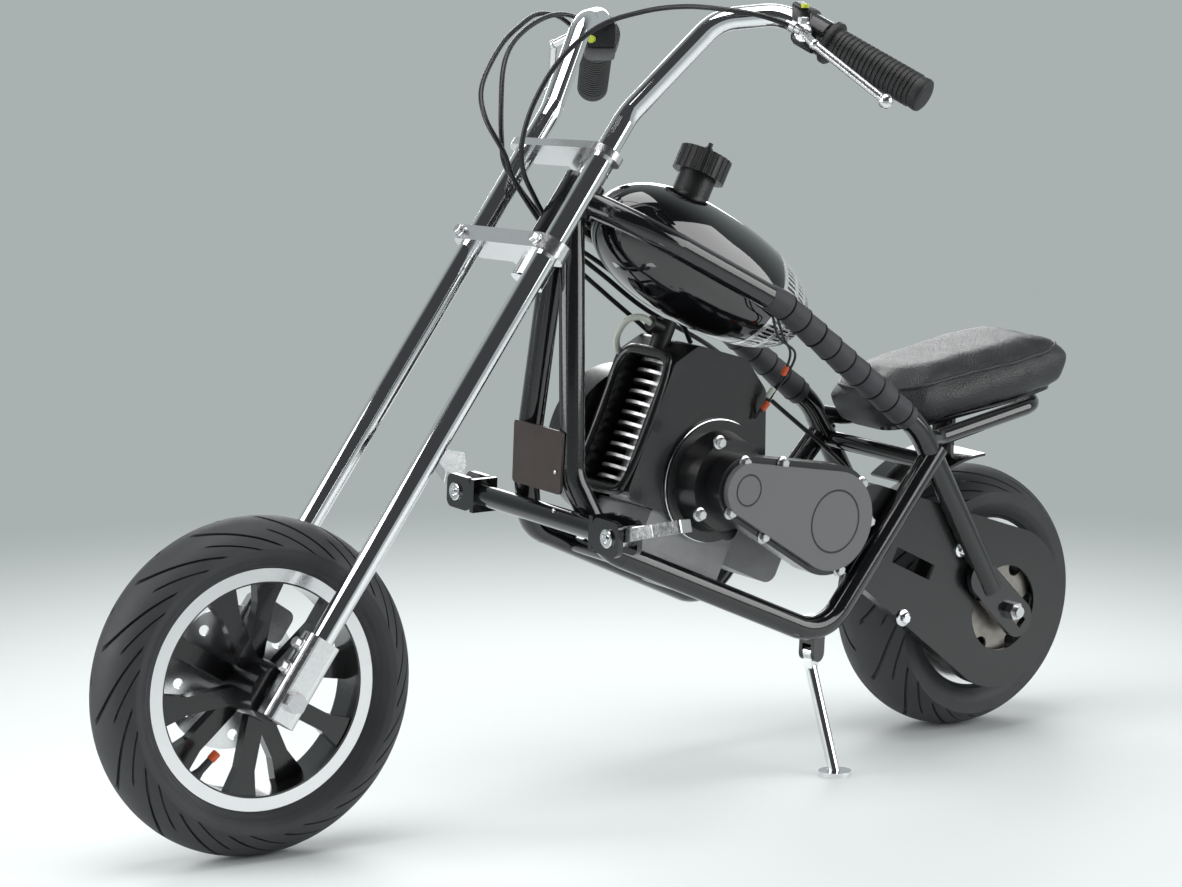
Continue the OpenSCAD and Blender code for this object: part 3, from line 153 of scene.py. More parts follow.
def finish(name, colour, rough, **constants):
    """A material with the shader's constants on its own sockets, and a wire of its object coordinates."""
    made = bpy.data.materials.new(name)
    made.use_nodes = True
    shader = made.node_tree.nodes["Principled BSDF"]
    shader.inputs["Base Color"].default_value = (*colour, 1)
    shader.inputs["Roughness"].default_value = rough
    for key, value in constants.items():
        shader.inputs[key.replace("_", " ")].default_value = value
    coordinates = made.node_tree.nodes.new("ShaderNodeTexCoord")
    return made, Wire(made.node_tree, coordinates.outputs["Object"])


def skin(rings, ends=True, loop=False):
    """Vertices and faces over rings of points [ring, place, 3]: each cell between two rings is a quad,
    each end is a fan to its middle, and loop joins the last ring to the first."""
    rings = np.asarray(rings, float)
    n, k = rings.shape[:2]
    i, j = np.meshgrid(np.arange(n if loop else n - 1), np.arange(k), indexing="ij")
    near, far, next_j = i * k, (i + 1) % n * k, (j + 1) % k
    faces = np.stack([near + j, near + next_j, far + next_j, far + j], -1).reshape(-1, 4).tolist()
    points = rings.reshape(-1, 3)
    if ends and not loop:
        j, back = np.arange(k), (n - 1) * k
        points = np.vstack([points, rings[0].mean(0), rings[-1].mean(0)])
        faces += np.stack([(j + 1) % k, j, np.full(k, n * k)], -1).tolist()
        faces += np.stack([back + j, back + (j + 1) % k, np.full(k, n * k + 1)], -1).tolist()
    return points, faces


def piece(name, skins, body, material, sharp=35):
    """One mesh object out of several skins, in metres, on a body; edges past sharp degrees stay crisp."""
    points, faces, base = [], [], 0
    for more, cells in skins:
        points.append(more)
        faces += [[c + base for c in cell] for cell in cells]
        base += len(more)
    mesh = bpy.data.meshes.new(name)
    mesh.from_pydata(np.vstack(points).tolist(), [], faces)
    mesh.polygons.foreach_set("use_smooth", np.ones(len(mesh.polygons), bool))
    mesh.set_sharp_from_angle(angle=np.radians(sharp))
    mesh.materials.append(material)
    made = bpy.data.objects.new(name, mesh)
    scene.collection.objects.link(made)
    if body:
        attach(made, body)
    return made


floor_tone, room_tone, dark_tone = (0.80, 0.83, 0.83), (0.40, 0.44, 0.44), (0.05, 0.052, 0.055)
fade_start, fade_end = 0.55, 2.1
floor_paint, spot = finish("studio_floor", floor_tone, 0.6)
tree = floor_paint.node_tree
fade = spot.vector("LENGTH", spot, out=1).step(fade_start, fade_end)
lit = Wire(tree, tree.nodes["Principled BSDF"].outputs[0])
glow = spot.node("ShaderNodeEmission", None, {"Color": (*room_tone, 1)})
mixed = spot.node("ShaderNodeMixShader", None, {0: fade, 1: lit, 2: glow})
tree.links.new(mixed.socket, tree.nodes["Material Output"].inputs["Surface"])
floor_radii = np.array([0.0001, 0.3, 0.6, 1, 2, 4, 10, 30, 90])[:, None]
bearings = np.linspace(0, -2 * np.pi, 64, endpoint=False)
disc = np.stack([floor_radii * np.cos(bearings), floor_radii * np.sin(bearings),
                 0 * floor_radii * bearings], -1)
piece("floor", [skin(disc, ends=False)], None, floor_paint)

# The room lights everything evenly; where it is seen, straight on or mirrored, it is dark behind the camera.
room_light = 0.55
world = bpy.data.worlds.new("room")
scene.world = world
world.use_nodes = True
tree = world.node_tree
backdrop = tree.nodes["Background"]
backdrop.inputs["Color"].default_value = (*room_tone, 1)
backdrop.inputs["Strength"].default_value = room_light
sky = Wire(tree, backdrop.outputs[0])
path, about = (tree.nodes.new(kind) for kind in ("ShaderNodeLightPath", "ShaderNodeTexCoord"))
camera_ray, glossy_ray, clear_ray = (Wire(tree, path.outputs["Is %s Ray" % kind])
                                     for kind in ("Camera", "Glossy", "Transmission"))
seen = sky.maths("MAXIMUM", sky.maths("MAXIMUM", camera_ray, glossy_ray), clear_ray)
facing = Wire(tree, about.outputs["Generated"]).along_line((0, 0, 0), ahead).step(-0.3, 0.6)
dark_side, wall_side = (sky.node("ShaderNodeBackground", None, {"Color": (*tone, 1), "Strength": 1.0})
                        for tone in (dark_tone, room_tone))
shown = sky.node("ShaderNodeMixShader", None, {0: facing, 1: dark_side, 2: wall_side})
both = sky.node("ShaderNodeMixShader", None, {0: seen, 1: sky, 2: shown})
tree.links.new(both.socket, tree.nodes["World Output"].inputs["Surface"])

lamp_aim, nearly_overhead = (0, 0, 0.35), 0.95
for name, place, size, power in [
        ("box_rear_left", (-2.0, 2.3, 1.2), (2.6, 2.0), 56),
        ("box_rear_right", (-1.7, -2.6, 1.7), (2.4, 1.2), 40),
        ("box_over", (0.3, 0.2, 2.7), (2.4, 1.4), 42),
        ("box_front", (2.6, -0.9, 1.3), (2.2, 2.2), 60)]:
    lamp = bpy.data.lights.new(name, "AREA")
    lamp.shape, lamp.size, lamp.size_y, lamp.energy = "RECTANGLE", size[0], size[1], power
    box = bpy.data.objects.new(name, lamp)
    scene.collection.objects.link(box)
    back = unit(np.array(place) - lamp_aim)
    side = unit(np.cross((0, 0, 1) if abs(back[2]) < nearly_overhead else (0, 1, 0), back))
    stand(box, side, np.cross(back, side), back, place)


# Frame tubes
# Mild steel tubes bent and welded, sprayed gloss black over bare welds. Places are worked out on the upright
# machine in millimetres and then leaned over to the parked stance.
park_lean, park_back, park_side = np.radians(4.35), 454.875, 63.885


def parked(p):
    """Upright millimetres to the parked frame in metres: a turn about X by the lean, then the shift."""
    p = np.asarray(p, float)
    c, s = np.cos(park_lean), np.sin(park_lean)
    return np.stack([p[..., 0] - park_back, p[..., 1] * c + p[..., 2] * s - park_side,
                     p[..., 2] * c - p[..., 1] * s], -1) / 1000


def feed(made, **wires):
    """Links wires to the shader's sockets; relief is a height in metres that goes through a Bump node."""
    shader = made.node_tree.nodes["Principled BSDF"]
    for key, wire in wires.items():
        if key == "relief":
            bump = wire.node("ShaderNodeBump", None, {"Height": wire, "Strength": 1.0, "Distance": 1.0})
            made.node_tree.links.new(bump.socket, shader.inputs["Normal"])
        else:
            made.node_tree.links.new(wire.socket, shader.inputs[key.replace("_", " ")])


def paint(made, *nodes):
    """Gives the CAD nodes a material."""
    for name in nodes:
        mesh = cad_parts[name].data
        mesh.materials.clear()
        mesh.materials.append(made)


frame_black, spot = finish("frame_gloss_black", (0.006, 0.006, 0.007), 0.1,
                           Coat_Weight=0.6, Coat_Roughness=0.04)
feed(frame_black, relief=spot.noise(420) * 0.00008, Roughness=spot.noise(36, 4).step(0.35, 0.8) * 0.12 + 0.08)
paint(frame_black, "head_tube", "main_tube_left", "main_tube_right", "lower_rail_left", "lower_rail_right",
      "seat_cross_tube", "peg_crossbar", "engine_mounts", "seat_rails", "seat_pan", "rear_fender",
      "tank_brackets", "dropouts", "stand_bracket")


# Tape on the main tubes
# Self-gripping grey tape wound round the tubes between tank and seat, each turn lapping the last. The
# radius of a swept tube swells along each turn, and a near-black ring of painted shade fills the step
# where the next one starts.
def bent_line(corners, bend, count):
    """Middle line of a bent tube: straights joined by arcs of one bend radius, at even distances.
    Each arc is drawn between the points where it leaves its two straights."""
    corners = np.asarray(corners, float)
    run = unit(np.diff(corners, axis=0))
    line = [corners[:1]]
    for p, a, b in zip(corners[1:-1], run[:-1], run[1:]):
        half = np.arccos(np.clip(a @ b, -1, 1)) / 2
        w = np.linspace(-half, half, 13)[:, None]
        side, along = unit(b - a), unit(a + b)
        line.append(p + side * bend / np.cos(half) + bend * (np.sin(w) * along - np.cos(w) * side))
    line = np.vstack(line + [corners[-1:]])
    gone = np.r_[0, np.cumsum(np.linalg.norm(np.diff(line, axis=0), axis=1))]
    even = np.linspace(0, gone[-1], count)
    return np.stack([np.interp(even, gone, line[:, c]) for c in range(3)], -1), even


def hose(line, radius, sides=24, guide=(0, 1, 0.02)):
    """Rings of a round profile carried along a line; radius may differ from ring to ring."""
    line = np.asarray(line, float)
    t = unit(np.gradient(line, axis=0))
    u = unit(np.cross(t, guide))
    v = np.cross(t, u)
    w = np.linspace(0, 2 * np.pi, sides, endpoint=False)[:, None]
    r = np.broadcast_to(np.asarray(radius, float), len(line))[:, None, None]
    return line[:, None] + r * (np.cos(w) * u[:, None] + np.sin(w) * v[:, None])


main_corners = np.array([(545, 0, 599.3), (505.3, 63, 574.1), (344.96, 82.3, 495), (149.6, 84, 356),
                         (29.6, 86, 172)])
main_bend, main_steps = 90, 900
tape_start, tape_pitch, tape_turns, tape_sides = 232.0, 25.6, 9.4, 32
tape_low, tape_swell, tape_drop = 12.6, 1.9, 1.6
lap_radii = [12.9, 14.7, 14.7, 12.9]
tape, spot = finish("grip_tape", (0.035, 0.035, 0.04), 0.62)
feed(tape, Base_Color=spot.noise(60, 4).tint((0.026, 0.026, 0.03), (0.055, 0.055, 0.062)),
     relief=spot.noise(900, 3) * 0.0003 + spot.noise(130) * 0.0003)
# Painted shade: near-black rings at each lap's step stand in for the shadow under the lap's edge.
tape_lap_painted_shade, spot = finish("tape_lap_painted_shade", (0.004, 0.004, 0.005), 0.7)
feed(tape_lap_painted_shade, relief=spot.noise(900, 3) * 0.0002)
wound, edges = [], []
for hand in (1, -1):
    line, gone = bent_line(main_corners * (1, hand, 1), main_bend, main_steps)
    for at in np.searchsorted(gone, tape_start + tape_pitch * (np.arange(int(tape_turns)) + 0.96)):
        edges.append(skin(parked(hose(line[at:at + len(lap_radii)], lap_radii, tape_sides))))
    taped = (gone >= tape_start) & (gone <= tape_start + tape_turns * tape_pitch)
    share = (gone[taped] - tape_start) / tape_pitch % 1
    radius = tape_low + tape_swell * share ** 0.6 - tape_drop * (share > 0.955)
    wound.append(skin(parked(hose(line[taped], radius, tape_sides))))
wraps = piece("tape_turns", wound, "frame", tape, 50)
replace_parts(wraps, "tube_wraps")
piece("tape_laps", edges, "frame", tape_lap_painted_shade)


# Shield plate
# A flat steel plate across the down tubes, sprayed brown-black, with two small rivets at its left edge.
def lathe(a, b, profile, sides=40):
    """Rings of a turned piece: for each (t, r) a circle of radius r stands at t from a towards b."""
    a, b = np.asarray(a, float), np.asarray(b, float)
    w = unit(b - a)
    u = unit(np.cross(w, (0.31, 0.2, 0.93) if abs(w[2]) < 0.8 else (1, 0, 0.1)))
    t, r = np.asarray(profile, float).T[..., None, None]
    ring = np.linspace(0, 2 * np.pi, sides, endpoint=False)[:, None]
    return a + t * w + r * (np.cos(ring) * u + np.sin(ring) * np.cross(w, u))


plate_brown, spot = finish("shield_brown", (0.03, 0.018, 0.015), 0.42)
feed(plate_brown, Base_Color=spot.noise(45, 4).tint((0.022, 0.013, 0.011), (0.045, 0.03, 0.026)),
     relief=spot.noise(700) * 0.0002)
paint(plate_brown, "front_plate")
zinc, spot = finish("zinc_plate", (0.62, 0.62, 0.63), 0.3, Metallic=1.0)
feed(zinc, Roughness=spot.noise(160, 3) * 0.2 + 0.2)
rivet = [(0, 2.2), (1.2, 2), (1.7, 1)]
piece("shield_rivets", [skin(parked(lathe((581.5, 31, z), (590, 31, z), rivet, 12))) for z in (338, 300)],
      "frame", zinc)


# Fuel tank
# A spun and welded steel teardrop in deep gloss black, seated on straps. Its rear end carries painted
# reflection: a thin bright shell with rows of ribs stands in for the tape-wound tube and pale room
# mirrored in the lacquer.
def tipped(p, middle, tip):
    """Millimetres in a part's own tipped axes (forward, left, up; from its middle) to the parked frame."""
    p = np.asarray(p, float)
    c, s = np.cos(tip), np.sin(tip)
    return parked(np.stack([middle[0] + p[..., 0] * c - p[..., 2] * s, p[..., 1],
                            middle[1] + p[..., 0] * s + p[..., 2] * c], -1))


def tank(p):
    """Tank millimetres, forward along the tank, to the parked frame."""
    return tipped(p, (397.8, 531), np.radians(26.2))


tank_black, spot = finish("tank_lacquer", (0.004, 0.004, 0.005), 0.06, Coat_Weight=1.0, Coat_Roughness=0.02)
feed(tank_black, Roughness=spot.noise(25, 3) * 0.05 + 0.04, relief=spot.noise(160) * 0.00004)
# Painted reflection: bright metal over the tank's rear, in place of what its gloss mirrors there.
tank_reflection_paint, spot = finish("tank_shell_painted_reflection", (0.84, 0.84, 0.85), 0.24, Metallic=0.75)
feed(tank_reflection_paint, Roughness=spot.noise(120, 3) * 0.16 + 0.14)
tank_radius, tank_front, tank_rear, tank_fullness = 60, 128, 165, 2.4
shell_front, rib_end, shell_sides, shell_thick, rib_depth = -78, -150, 240, 0.4, 0.022
stations = np.sin(np.radians(np.linspace(-90, 90, 91)))
swell = tank_radius * np.sqrt(np.clip(1 - np.abs(stations) ** tank_fullness, 1e-6, 1))
tank_at = stations * np.where(stations > 0, tank_front, tank_rear)
under_shell = tank_at <= shell_front
tank_profile = np.stack([tank_at, swell - shell_thick * under_shell], -1)
body = piece("tank_body", [skin(tank(lathe((0, 0, 0), (1, 0, 0), tank_profile, 96)))],
             "frame", tank_black)
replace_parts(body, "fuel_tank")
shell_at = tank_at[under_shell]
shell = lathe((0, 0, 0), (1, 0, 0), np.stack([tank_at, swell], -1)[under_shell], shell_sides)
# Rows of dents copy the bands of the taped tube seen mirrored in the tank's rear.
in_row = np.isin(np.arange(len(shell)) % 5, (1, 2, 3)) & (shell_at > rib_end)
reflected_band_dents = in_row[:, None] & (np.arange(shell_sides) % 4 < 2)
middle = np.stack([shell_at, 0 * shell_at, 0 * shell_at], -1)[:, None]
shell = middle + (shell - middle) * (1 - rib_depth * reflected_band_dents[..., None])
piece("tank_rear_painted_reflection", [skin(tank(shell))], "frame", tank_reflection_paint, 20)
cap_plastic, spot = finish("cap_plastic", (0.01, 0.01, 0.011), 0.33)
feed(cap_plastic, relief=spot.noise(500, 3) * 0.0002, Roughness=spot.noise(90, 3) * 0.2 + 0.25)
paint(cap_plastic, "fuel_cap")
vent = [(0, 9), (1.4, 9), (2.2, 4), (7, 4), (7.6, 2.6), (12, 2.4)]
piece("cap_vent", [skin(tank(lathe((34, 0, 101.5), (34, 0, 120), vent, 24)))],
      "frame", cap_plastic)


# Engine castings
# The barrel and fins are raw cast alloy; the shroud, clutch and gear cases are sprayed satin black. The gear
# cover has two turned rings; its grey face is painted sheen of the soft boxes on satin black, and the
# rings are darkened as painted shade. Plated bolts close the cases.
def engine(p):
    """Engine millimetres from the crankshaft, forward along the rails, to the parked frame."""
    return tipped(p, (395.6, 315.9), np.radians(23.22))


def bolts(places, out, across=10, head=5, washer=8.5, place=parked):
    """Hexagon bolts: a washer, a head of six sides and a chamfered top, turned about out at each place."""
    out = np.asarray(out, float)
    corner = across / np.sqrt(3)
    plate = [(0.5, washer), (2.2, washer), (2.6, washer - 0.6)]
    hexagon = [(0.4, corner), (1 + head, corner), (1.6 + head, corner * 0.84)]
    made = []
    for p in np.asarray(places, float).reshape(-1, 3):
        made.append(skin(place(lathe(p - out, p + out, plate, 24))))
        made.append(skin(place(lathe(p, p + out, hexagon, 6))))
    return made


def groove(distance, radius, outer, inner):
    """1 on a ring of that radius, falling to 0 from inner to outer at either side of it."""
    off = distance - radius
    return off.maths("ABSOLUTE", off).step(outer, inner)


fin_alloy, spot = finish("fin_alloy", (0.68, 0.68, 0.69), 0.34, Metallic=1.0)
feed(fin_alloy, relief=spot.noise(900, 3) * 0.0002, Roughness=spot.noise(70, 4) * 0.3 + 0.2)
paint(fin_alloy, "cylinder")
engine_black, spot = finish("engine_black", (0.009, 0.009, 0.01), 0.24, Coat_Weight=0.3, Coat_Roughness=0.1)
feed(engine_black, relief=spot.noise(800, 3) * 0.00012, Roughness=spot.noise(40, 4) * 0.16 + 0.16)
paint(engine_black, "engine_shroud", "starter_housing", "clutch_housing", "gearbox")
rough_alloy, spot = finish("sand_cast_alloy", (0.32, 0.32, 0.33), 0.48, Metallic=1.0)
feed(rough_alloy, relief=spot.noise(700, 4) * 0.0005, Roughness=spot.noise(60, 4) * 0.3 + 0.35)
paint(rough_alloy, "crankcase", "carburettor", "muffler", "front_caliper", "rear_caliper")
paint(cap_plastic, "spark_plug_cap", "starter_handle")

# Painted sheen: the grey base stands in for soft-box sheen on satin black; painted shade: the rings go
# near-black.
cover_sheen_tone, groove_painted_shade_tone = (0.14, 0.14, 0.146), (0.012, 0.012, 0.013)
cover_sheen_paint, spot = finish("cover_painted_sheen_grey", cover_sheen_tone, 0.44)
axle_way = unit(engine((0, 1, 0)) - engine((0, 0, 0)))
crank_off, gear_off = (spot.from_line(engine(at), axle_way) for at in [(0, 0, 0), (-125, 0, 7)])
# The two rings: sunk in by the relief, and painted shade in the base colour.
rings = spot.maths("MAXIMUM", groove(crank_off, 0.0155, 0.0011, 0.0005),
                   groove(gear_off, 0.032, 0.0013, 0.0006))
feed(cover_sheen_paint, Base_Color=rings.tint(cover_sheen_tone, groove_painted_shade_tone),
     relief=spot.noise(1200, 3) * 0.00025 - rings * 0.0009, Roughness=spot.noise(80, 4) * 0.2 + 0.34)
paint(cover_sheen_paint, "gearbox_cover")

chrome, spot = finish("bright_chrome", (0.86, 0.87, 0.88), 0.05, Metallic=1.0)
feed(chrome, Roughness=spot.noise(22, 4).step(0.4, 0.9) * 0.08 + 0.03)
clutch_band = [(0, 61.6), (0.4, 62.7), (2.4, 62.7), (2.8, 61.6)]
piece("clutch_rim", [skin(engine(lathe((0, 46.4, 0), (0, 60, 0), clutch_band, 96)))],
      "frame", chrome)
gear_bolts = [(431, 95, 366), (397, 95, 343), (347, 95, 338), (452, 95, 296), (413, 95, 294), (368, 95, 265),
              (238, 95, 308), (225, 95, 267), (263, 95, 220)]
piece("case_bolts", bolts(gear_bolts, (0, 1, 0), 9, 5, 7), "frame", zinc)


# Bezel of the cooling opening
# A rounded lip pressed round the opening in the shroud's front, where the fins show: a small oval carried
# round an oblong with rounded corners.
bezel_middle, bezel_half, bezel_corner = np.array((99.0, 3, 25)), (38, 71), 0.32
lip_forward, lip_out = 5, 6
w = np.linspace(0, 2 * np.pi, 120, endpoint=False)
c, s = (np.sign(f) * np.abs(f) ** bezel_corner for f in (np.cos(w), np.sin(w)))
oblong = bezel_middle + np.stack([0 * w, bezel_half[0] * c, bezel_half[1] * s], -1)
lip = np.stack([np.cos(w[::10]) * lip_forward, np.sin(w[::10]) * lip_out], -1)
outward = unit(oblong - bezel_middle)
bezel = oblong[:, None] + lip[:, :1] * np.array((1, 0, 0)) + lip[None, :, 1:] * outward[:, None]
piece("shroud_bezel", [skin(engine(bezel), loop=True)], "frame", engine_black)


# Chain and its guard
# A roller chain of pressed side plates and pins, laid on the closed line round the two sprockets, under a
# stamped guard of black sheet.
chain_steel, spot = finish("oiled_steel", (0.3, 0.28, 0.25), 0.38, Metallic=1.0)
feed(chain_steel, Base_Color=spot.noise(120, 3).tint((0.2, 0.18, 0.16), (0.4, 0.38, 0.35)))
paint(chain_steel, "rear_sprocket")
rear_centre, drive_centre = np.array((0, 145.22)), np.array((278.0, 273.0))
rear_radius, drive_radius = 74.5, 24.5
chain_left, pin_half, pin_radius, pair_length = 67, 3.4, 2.0, 19
apart = drive_centre - rear_centre
bearing = np.arctan2(apart[1], apart[0])
off = np.arccos((rear_radius - drive_radius) / np.linalg.norm(apart))
rear_arc = np.linspace(bearing + off, bearing + 2 * np.pi - off, 200)
drive_arc = np.linspace(bearing - off, bearing + off, 100)
loop = np.vstack([rear_centre + rear_radius * np.stack([np.cos(rear_arc), np.sin(rear_arc)], -1),
                  drive_centre + drive_radius * np.stack([np.cos(drive_arc), np.sin(drive_arc)], -1)])
loop = np.vstack([loop, loop[:1]])
gone = np.r_[0, np.cumsum(np.linalg.norm(np.diff(loop, axis=0), axis=1))]
count = 2 * int(gone[-1] / pair_length)
pins = np.stack([np.interp(np.arange(count + 1) * gone[-1] / count, gone, loop[:, c]) for c in (0, 1)], -1)
mid, way = (pins[1:] + pins[:-1]) / 2, unit(np.diff(pins, axis=0))
square = np.stack([-way[:, 1], way[:, 0]], -1)
plate = np.array([(-8, -1.5), (-5, -3.3), (0, -2.3), (5, -3.3), (8, -1.5),
                  (8, 1.5), (5, 3.3), (0, 2.3), (-5, 3.3), (-8, 1.5)])
outline = mid[:, None] + plate[:, :1] * way[:, None] + plate[:, 1:] * square[:, None]
chain_parts = []
for n, shape in enumerate(outline):
    for face in (-1, 1):
        inner_face = chain_left + face * (2.2 if n % 2 else 3.2) - 0.5
        plate_rings = [np.insert(shape[::-1], 1, y, 1) for y in (inner_face, inner_face + 1)]
        chain_parts.append(skin(parked(np.array(plate_rings))))
    pin_ends = [np.insert(pins[n], 1, chain_left + end * pin_half) for end in (-1, 1)]
    chain_parts.append(skin(parked(lathe(*pin_ends, [(0, pin_radius), (2 * pin_half, pin_radius)], 8))))
links = piece("chain_links", chain_parts, "frame", chain_steel)
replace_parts(links, "chain")
paint(engine_black, "chain_guard")
piece("guard_bolts", bolts([(70, 78, 218), (150, 78, 152)], (0, 1, 0), 10, 5, 9), "frame", chrome)


# Axles
# Plated steel axles with spacers and nuts: the rear one sits in the slotted plates of the frame, the front
# one in the fork's clamps.
paint(zinc, "rear_axle", "front_axle")


# Wheels
# One-piece cast alloy wheels sprayed gloss black, with a flat machined lip left bright at each side. The
# discs on their hubs are machined too.
wheel_black, spot = finish("wheel_gloss_black", (0.008, 0.008, 0.009), 0.18,
                           Coat_Weight=0.4, Coat_Roughness=0.06)
feed(wheel_black, relief=spot.noise(600, 3) * 0.00012, Roughness=spot.noise(50, 4) * 0.14 + 0.12)
paint(wheel_black, "front_wheel", "rear_wheel")
machined, spot = finish("machined_alloy", (0.83, 0.83, 0.84), 0.22, Metallic=1.0)
feed(machined, Roughness=spot.noise(900, 2) * 0.14 + 0.16)
paint(machined, "front_disc", "rear_disc")
rake, fork_offset, park_turn = np.radians(35), 35, np.radians(-6.3)
steer_up = np.array((-np.sin(rake), 0, np.cos(rake)))
steer_out = np.array((np.cos(rake), 0, np.sin(rake)))
front_axle, rear_axle = np.array((896, 0, 159.03)), np.array((0, 0, 145.22))
pivot = front_axle - fork_offset * steer_out


def steered(p):
    """Upright millimetres of a steered part to the parked frame: a turn of the steering, then parked."""
    q = np.asarray(p, float) - pivot
    c, s = np.cos(park_turn), np.sin(park_turn)
    turned = q * c + np.cross(steer_up, q) * s + (q @ steer_up)[..., None] * steer_up * (1 - c)
    return parked(turned + pivot)


def wheel_ring(axle, place, profile, sides=128):
    """A closed ring about an axle: a profile of (radius, distance left of the middle) run round it."""
    r, y = np.asarray(profile, float).T[..., None]
    w = np.linspace(0, 2 * np.pi, sides, endpoint=False)
    return skin(place(axle + np.stack([r * np.cos(w), y + 0 * w, -r * np.sin(w)], -1)), loop=True)


for wheel, axle, place, rim, half in [("front_wheel", front_axle, steered, 112, 21),
                                      ("rear_wheel", rear_axle, parked, 92, 42)]:
    lips = []
    for hand in (1, -1):
        section = np.array([(rim - 12, 0), (rim + 0.6, 0), (rim + 1.2, 0.6), (rim + 0.8, 1.5),
                            (rim - 11.4, 1.5)])
        section = section * (1, hand) + (0, hand * (half - 0.6))
        lips.append(wheel_ring(axle, place, section[::hand]))
    piece(wheel + "_lips", lips, wheel, machined)


# Tyres
# Moulded road tyres. The grooves run along the grid's own lines, which lean over from the crown to the
# shoulder, so their edges are crisp; the sidewalls carry a plain rim bead and no lettering.
rubber, spot = finish("tyre_rubber", (0.03, 0.031, 0.034), 0.6)
feed(rubber, Base_Color=spot.noise(30, 4).tint((0.022, 0.023, 0.025), (0.042, 0.043, 0.047)),
     relief=spot.noise(1500, 3) * 0.0002, Roughness=spot.noise(60, 3) * 0.25 + 0.45)


def tyre(axle, place, section, pitches, sweep, reach, cut_depth):
    """Torus of a tyre: the section is resampled by its length, and its points are set in by the groove's
    depth. Grid column j stands at an angle that shifts with the distance q from the crown, so that a groove
    is a column. Each pitch has a long groove from the crown and a short one at the shoulder."""
    section = np.asarray(section, float)
    whole = np.vstack([section, section[::-1] * (1, -1)])
    gone = np.r_[0, np.cumsum(np.linalg.norm(np.diff(whole, axis=0), axis=1))]
    s = np.linspace(0, gone[-1], 121)
    r, y = np.interp(s, gone, whole[:, 0]), np.interp(s, gone, whole[:, 1])
    q = s - gone[-1] / 2
    out = unit(np.stack([-np.gradient(y), np.gradient(r)], -1))
    pitch, crown = 2 * np.pi / pitches, section[:, 0].max()
    half = pitch * crown / 2
    local = np.r_[-3.2, -2.2, 2.2, 3.2, np.linspace(7, half - 5, 5), half + np.array([-2.6, -1.7, 1.7, 2.6]),
                  np.linspace(half + 5, 2 * half - 6, 5)] / crown
    column = (np.arange(pitches)[:, None] * pitch + local).ravel()
    long_cut, short_cut = (np.tile(np.isin(np.arange(len(local)), cut), pitches)
                           for cut in ((1, 2), (10, 11)))
    span = np.clip(np.abs(q) / reach, 0, 1.15)
    lean = sweep * pitch * span ** 1.6 + pitch / 2 * np.clip(q / 8, -0.5, 0.5)
    in_long = np.clip((span - 0.1) / 0.06, 0, 1) * np.clip((1.02 - span) / 0.04, 0, 1)
    in_short = np.clip((span - 0.62) / 0.06, 0, 1) * np.clip((1.1 - span) / 0.04, 0, 1)
    depth = cut_depth * np.maximum(in_long[:, None] * long_cut, 0.8 * in_short[:, None] * short_cut)
    w = column + lean[:, None]
    rr, yy = r[:, None] - depth * out[:, :1], y[:, None] - depth * out[:, 1:]
    return skin(place(axle + np.stack([rr * np.cos(w), yy + 0 * w, rr * np.sin(w)], -1)), loop=True)


def crown_arc(first, middle, radius):
    """Points of a section's round crown, from an angle in degrees up to the top."""
    w = np.radians(np.linspace(first, 90, 30))
    return np.stack([middle + radius * np.sin(w), radius * np.cos(w)], -1)


front_section = [(105, 16.5), (111.5, 16.5), (112.6, 20.6), (115, 23.6), (116.4, 25.6), (117.6, 26),
                 (121, 30), (126, 33.6), *crown_arc(16, 122.25, 36.4)]
rear_section = [(85, 37.5), (91.5, 37.5), (92.6, 41.6), (96, 44.6), (97.4, 46.8), (98.6, 47), (104, 50),
                (110.5, 52.4), (118, 52.9), *crown_arc(46, 68.1, 76.8)]
made = piece("front_tyre_tread", [tyre(front_axle, steered, front_section, 15, 1.2, 43, 3.0)],
             "front_wheel", rubber, 30)
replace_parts(made, "front_tyre")
made = piece("rear_tyre_tread", [tyre(rear_axle, parked, rear_section, 13, 1.2, 54, 3.2)],
             "rear_wheel", rubber, 30)
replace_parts(made, "rear_tyre")


# Fork
# Chromed steel legs in cast and polished alloy clamps, closed on them by pinch bolts; one large bolt holds
# the upper clamp on the stem. The bars, the stand and the foot pegs have the same two finishes.
paint(chrome, "fork_leg_left", "fork_leg_right", "handlebar_left", "handlebar_right", "steering_stem",
      "side_stand")
polished, spot = finish("polished_alloy", (0.78, 0.78, 0.79), 0.2, Metallic=1.0)
feed(polished, Roughness=spot.noise(240, 4) * 0.22 + 0.12, relief=spot.noise(260, 3) * 0.0001)
paint(polished, "lower_clamp", "upper_clamp", "axle_clamps", "foot_peg_left", "foot_peg_right")
leg_out, stem_top = 69, 594.5
legs = [front_axle + (0, hand * leg_out, 0) for hand in (1, -1)]
pinch = [leg + t * steer_up + 17 * steer_out for leg in legs for t in (24, 48)]
ears = [leg + 484 * steer_up + 18 * steer_out for leg in legs]
clamp_bolts = bolts(pinch, steer_out, 9, 6, 6.5, steered) + bolts(ears, steer_out, 9, 5, 6.5, steered)
clamp_bolts += bolts([pivot + stem_top * steer_up], steer_up, 26, 9, 16, steered)
piece("clamp_bolts", clamp_bolts, "steering", zinc)


# Foot peg pivots
# Plated shoulder bolts with ring heads through the clevis on the crossbar, one for each folding peg.
crossbar_x, clevis_half, peg_left, peg_up = 573.2, 14.4, 124, 291.3
ring_head = [(0, 9), (2.4, 9), (3, 8.2), (3, 5.6), (2, 5.2), (2, 3.4), (4.4, 3)]
ring_heads = []
for hand in (1, -1):
    head = np.array((crossbar_x + clevis_half, hand * peg_left, peg_up))
    ring_heads.append(skin(parked(lathe(head, head + (1, 0, 0), ring_head, 28))))
piece("peg_pivot_heads", ring_heads, "frame", chrome)


